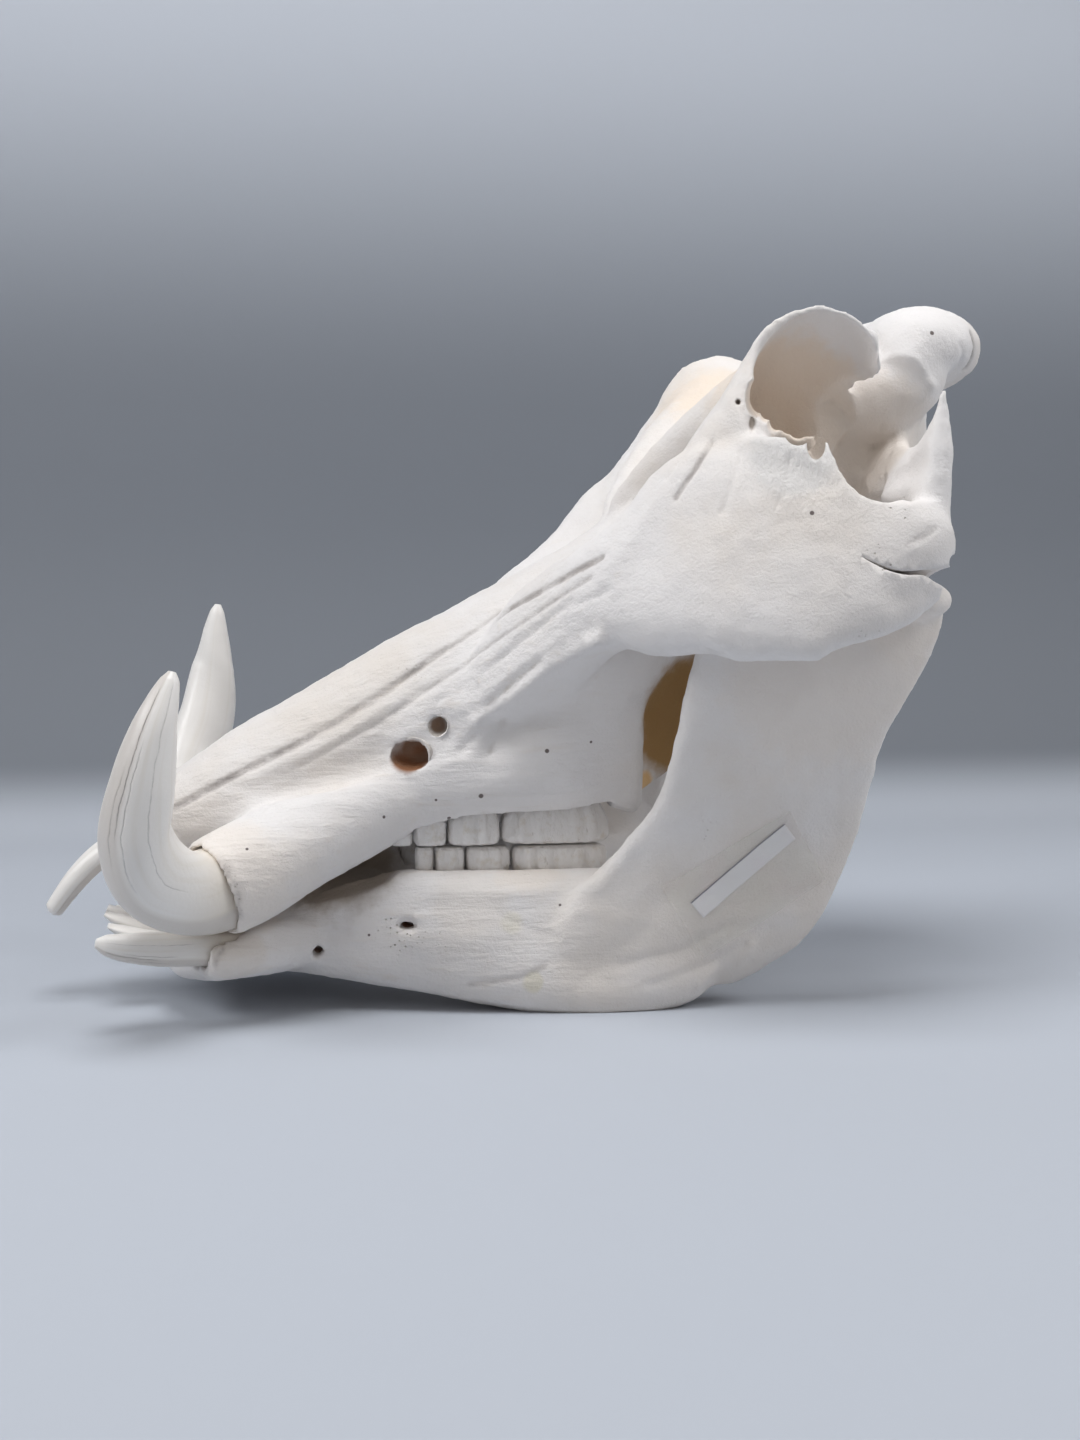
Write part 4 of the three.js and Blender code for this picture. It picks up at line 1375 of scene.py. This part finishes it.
def makeCheekTooth(row, tooth, side, flank):
    name, front, back, half, lobes = tooth
    crown = cheekTeeth[row + "Crown"]
    rise = cheekTeeth[row + "Root"] - crown
    middle = (front + back) / 2
    reach = (back - front) / 2
    outwards = cheekTeeth["fromMiddle"]
    stations = [
        [middle, outwards, crown + rise * up, reach * length, half * width, squareness]
        for up, length, width, squareness in cheekTeeth["rings"]
    ]
    lobeHeight = cheekTeeth["lobeHeight"] if lobes > 1 else 0
    bm = bmesh.new()
    loft(bm, stations, "z", flank, sides=24 + 12 * lobes, lobes=(lobes, lobeHeight))
    finished(asObject(f"{row}_{name}Tooth_{side}", bm), enamel, "cheek_tooth", f"{row}_{name}_{side}")


for side, flank in (("left", left), ("right", right)):
    makeTusk("upper", upperTusk(flank), side, flank)
    makeTusk("lower", tusks["lower"], side, flank)
    for name, stations in frontTeeth.items():
        makeFrontTooth(name, stations, side, flank)
    for row in ("upper", "lower"):
        for tooth in cheekTeeth[row]:
            makeCheekTooth(row, tooth, side, flank)
print("teeth finished")

# Label: blank paper strip under clear tape on the left ramus

label = {
    # sizes in millimetres; tilt in degrees; lift is the gap that the sheet keeps from the bone
    "strip": {"middle": (64.2, 51.6), "size": (44.5, 7.5), "tilt": 40, "lift": 0.45, "thickness": 0.25},
    "tape": {"middle": (65, 46.5), "size": (54, 31), "tilt": 31, "lift": 0.95, "thickness": 0.12},
    "paper": tone(0.95, 0.94, 0.96),
    "paperShade": tone(0.88, 0.87, 0.89),
    "paperEdgeShade": tone(0.09, 0.09, 0.15),
    "haze": tone(0.85, 0.84, 0.78),
    "pinkHaze": tone(0.8, 0.72, 0.7),
    "tapeAlpha": 0.15,
}


def labelPaint():
    paint = Paint("labelPaper", roughness=0.75, specular=0.3)
    fibres = paint.noise(0.8, 5.0, 0.7)
    colour = paint.mix(label["paper"], label["paperShade"], fibres)
    # Painted shade standing for a curled upper edge: a dark line along the top of the paper
    strip = label["strip"]
    turn = math.radians(strip["tilt"])
    x, _, z = (float(v) for v in placed((strip["middle"][0], 0, strip["middle"][1])) / mm)
    fromX = paint.part(paint.here, 0) - x
    fromZ = paint.part(paint.here, 2) - z
    rise = fromZ * math.cos(turn) - fromX * math.sin(turn)
    top = strip["size"][1] / 2
    colour = paint.mix(colour, label["paperEdgeShade"], paint.ramp(rise, top - 0.6, top - 0.3))
    return paint.finish(colour, None, paint.bump(fibres, 0.05))


def tapePaint():
    paint = Paint("clearTape", roughness=0.12, specular=0.5)
    haze = paint.noise(0.08, 4.0)
    colour = paint.mix(label["haze"], label["pinkHaze"], paint.ramp(haze, 0.45, 0.7))
    paint.shader.inputs["Alpha"].default_value = label["tapeAlpha"]
    return paint.finish(colour, None, paint.bump(paint.noise(0.12, 3.0), 1.2))


def laidOnRamus(name, sheet):
    # A fine grid, dropped sideways onto the ramus
    tree = surfaceTree(mandibleBone)
    middle, size = sheet["middle"], sheet["size"]
    turn = math.radians(sheet["tilt"])
    outside = -200
    bm = bmesh.new()
    bmesh.ops.create_grid(bm, x_segments=44, y_segments=26, size=0.5)
    for v in bm.verts:
        u, w = v.co.x * size[0], v.co.y * size[1]
        x = middle[0] + u * math.cos(turn) - w * math.sin(turn)
        z = middle[1] + u * math.sin(turn) + w * math.cos(turn)
        hit, normal, _, _ = tree.ray_cast(Vector(placed((x, outside, z))), Vector((0, 1, 0)))
        v.co = hit + normal * sheet["lift"] * mm
    bmesh.ops.smooth_vert(
        bm, verts=bm.verts, factor=0.5, use_axis_x=False, use_axis_y=True, use_axis_z=False
    )
    laid = asObject(name, bm)
    shell = laid.modifiers.new("thickness", "SOLIDIFY")
    shell.thickness = sheet["thickness"] * mm
    shell.offset = 0
    return applied(laid)


paperStrip = laidOnRamus("labelStrip", label["strip"])
clearTape = laidOnRamus("labelTape", label["tape"])
finished(paperStrip, labelPaint(), "label_paper", "label_strip")
finished(clearTape, tapePaint(), "label_tape", "label_tape")
print("label finished")

# Floor and light

studio = {
    # metres, from the skull's middle on the floor
    "halfFloor": 3,
    "bendStart": 0.42,
    "bend": 0.22,
    "floor": tone(0.5, 0.53, 0.58),
    "wallShade": tone(0.21, 0.225, 0.25),
    "wallTopLight": tone(0.53, 0.56, 0.61),
    "aim": (0, 0, 0.12),
    "lampColour": (0.95, 0.97, 1),
    # name, place, width, power
    "lamps": [
        ("overhead", (-0.1, -0.3, 1.35), 0.7, 10),
        ("leftKey", (-1.05, -0.2, 0.8), 0.5, 6),
        ("rightKey", (0.95, -0.3, 0.85), 0.5, 5.5),
        ("frontFill", (-0.1, -1.5, 0.7), 1.0, 1.3),
    ],
    "air": (0.86, 0.75, 0.66, 1),
    "airStrength": 0.15,
}


def makeFloor():
    # A pale sheet that curves up behind the skull; its wall is painted dark low down, as painted shade,
    # and lighter towards the top, as painted light
    bm = bmesh.new()
    bmesh.ops.create_grid(bm, x_segments=2, y_segments=160, size=studio["halfFloor"])
    bend = studio["bend"]
    for v in bm.verts:
        past = v.co.y - studio["bendStart"]
        if past > 0:
            angle = min(past / bend, math.pi / 2)
            v.co.y = studio["bendStart"] + bend * math.sin(angle)
            v.co.z = bend * (1 - math.cos(angle)) + max(0.0, past - bend * math.pi / 2)
    floor = asObject("floor", bm)
    for polygon in floor.data.polygons:
        polygon.use_smooth = True
    paint = Paint("paleFloor", roughness=0.8, specular=0.2)
    height = paint.part(paint.here, 2)
    # Painted shade on the wall, then painted light towards its top
    sheet = paint.mix(studio["floor"], studio["wallShade"], paint.ramp(height, 2, 40))
    sheet = paint.mix(sheet, studio["wallTopLight"], paint.ramp(height, 290, 620))
    floor.data.materials.append(paint.finish(sheet))


def makeLamp(name, spot, size, power):
    data = bpy.data.lights.new(name, "AREA")
    data.shape = "DISK"
    data.size = size
    data.energy = power
    data.color = studio["lampColour"]
    lamp = bpy.data.objects.new(name, data)
    bpy.context.scene.collection.objects.link(lamp)
    lamp.location = spot
    toSkull = Vector(studio["aim"]) - Vector(spot)
    lamp.rotation_euler = toSkull.to_track_quat("-Z", "Y").to_euler()


makeFloor()
for lamp in studio["lamps"]:
    makeLamp(*lamp)
world = bpy.context.scene.world or bpy.data.worlds.new("studio")
bpy.context.scene.world = world
world.use_nodes = True
air = world.node_tree.nodes["Background"]
air.inputs["Color"].default_value = studio["air"]
air.inputs["Strength"].default_value = studio["airStrength"]
bpy.context.scene.view_settings.view_transform = "Standard"
print("studio ready")
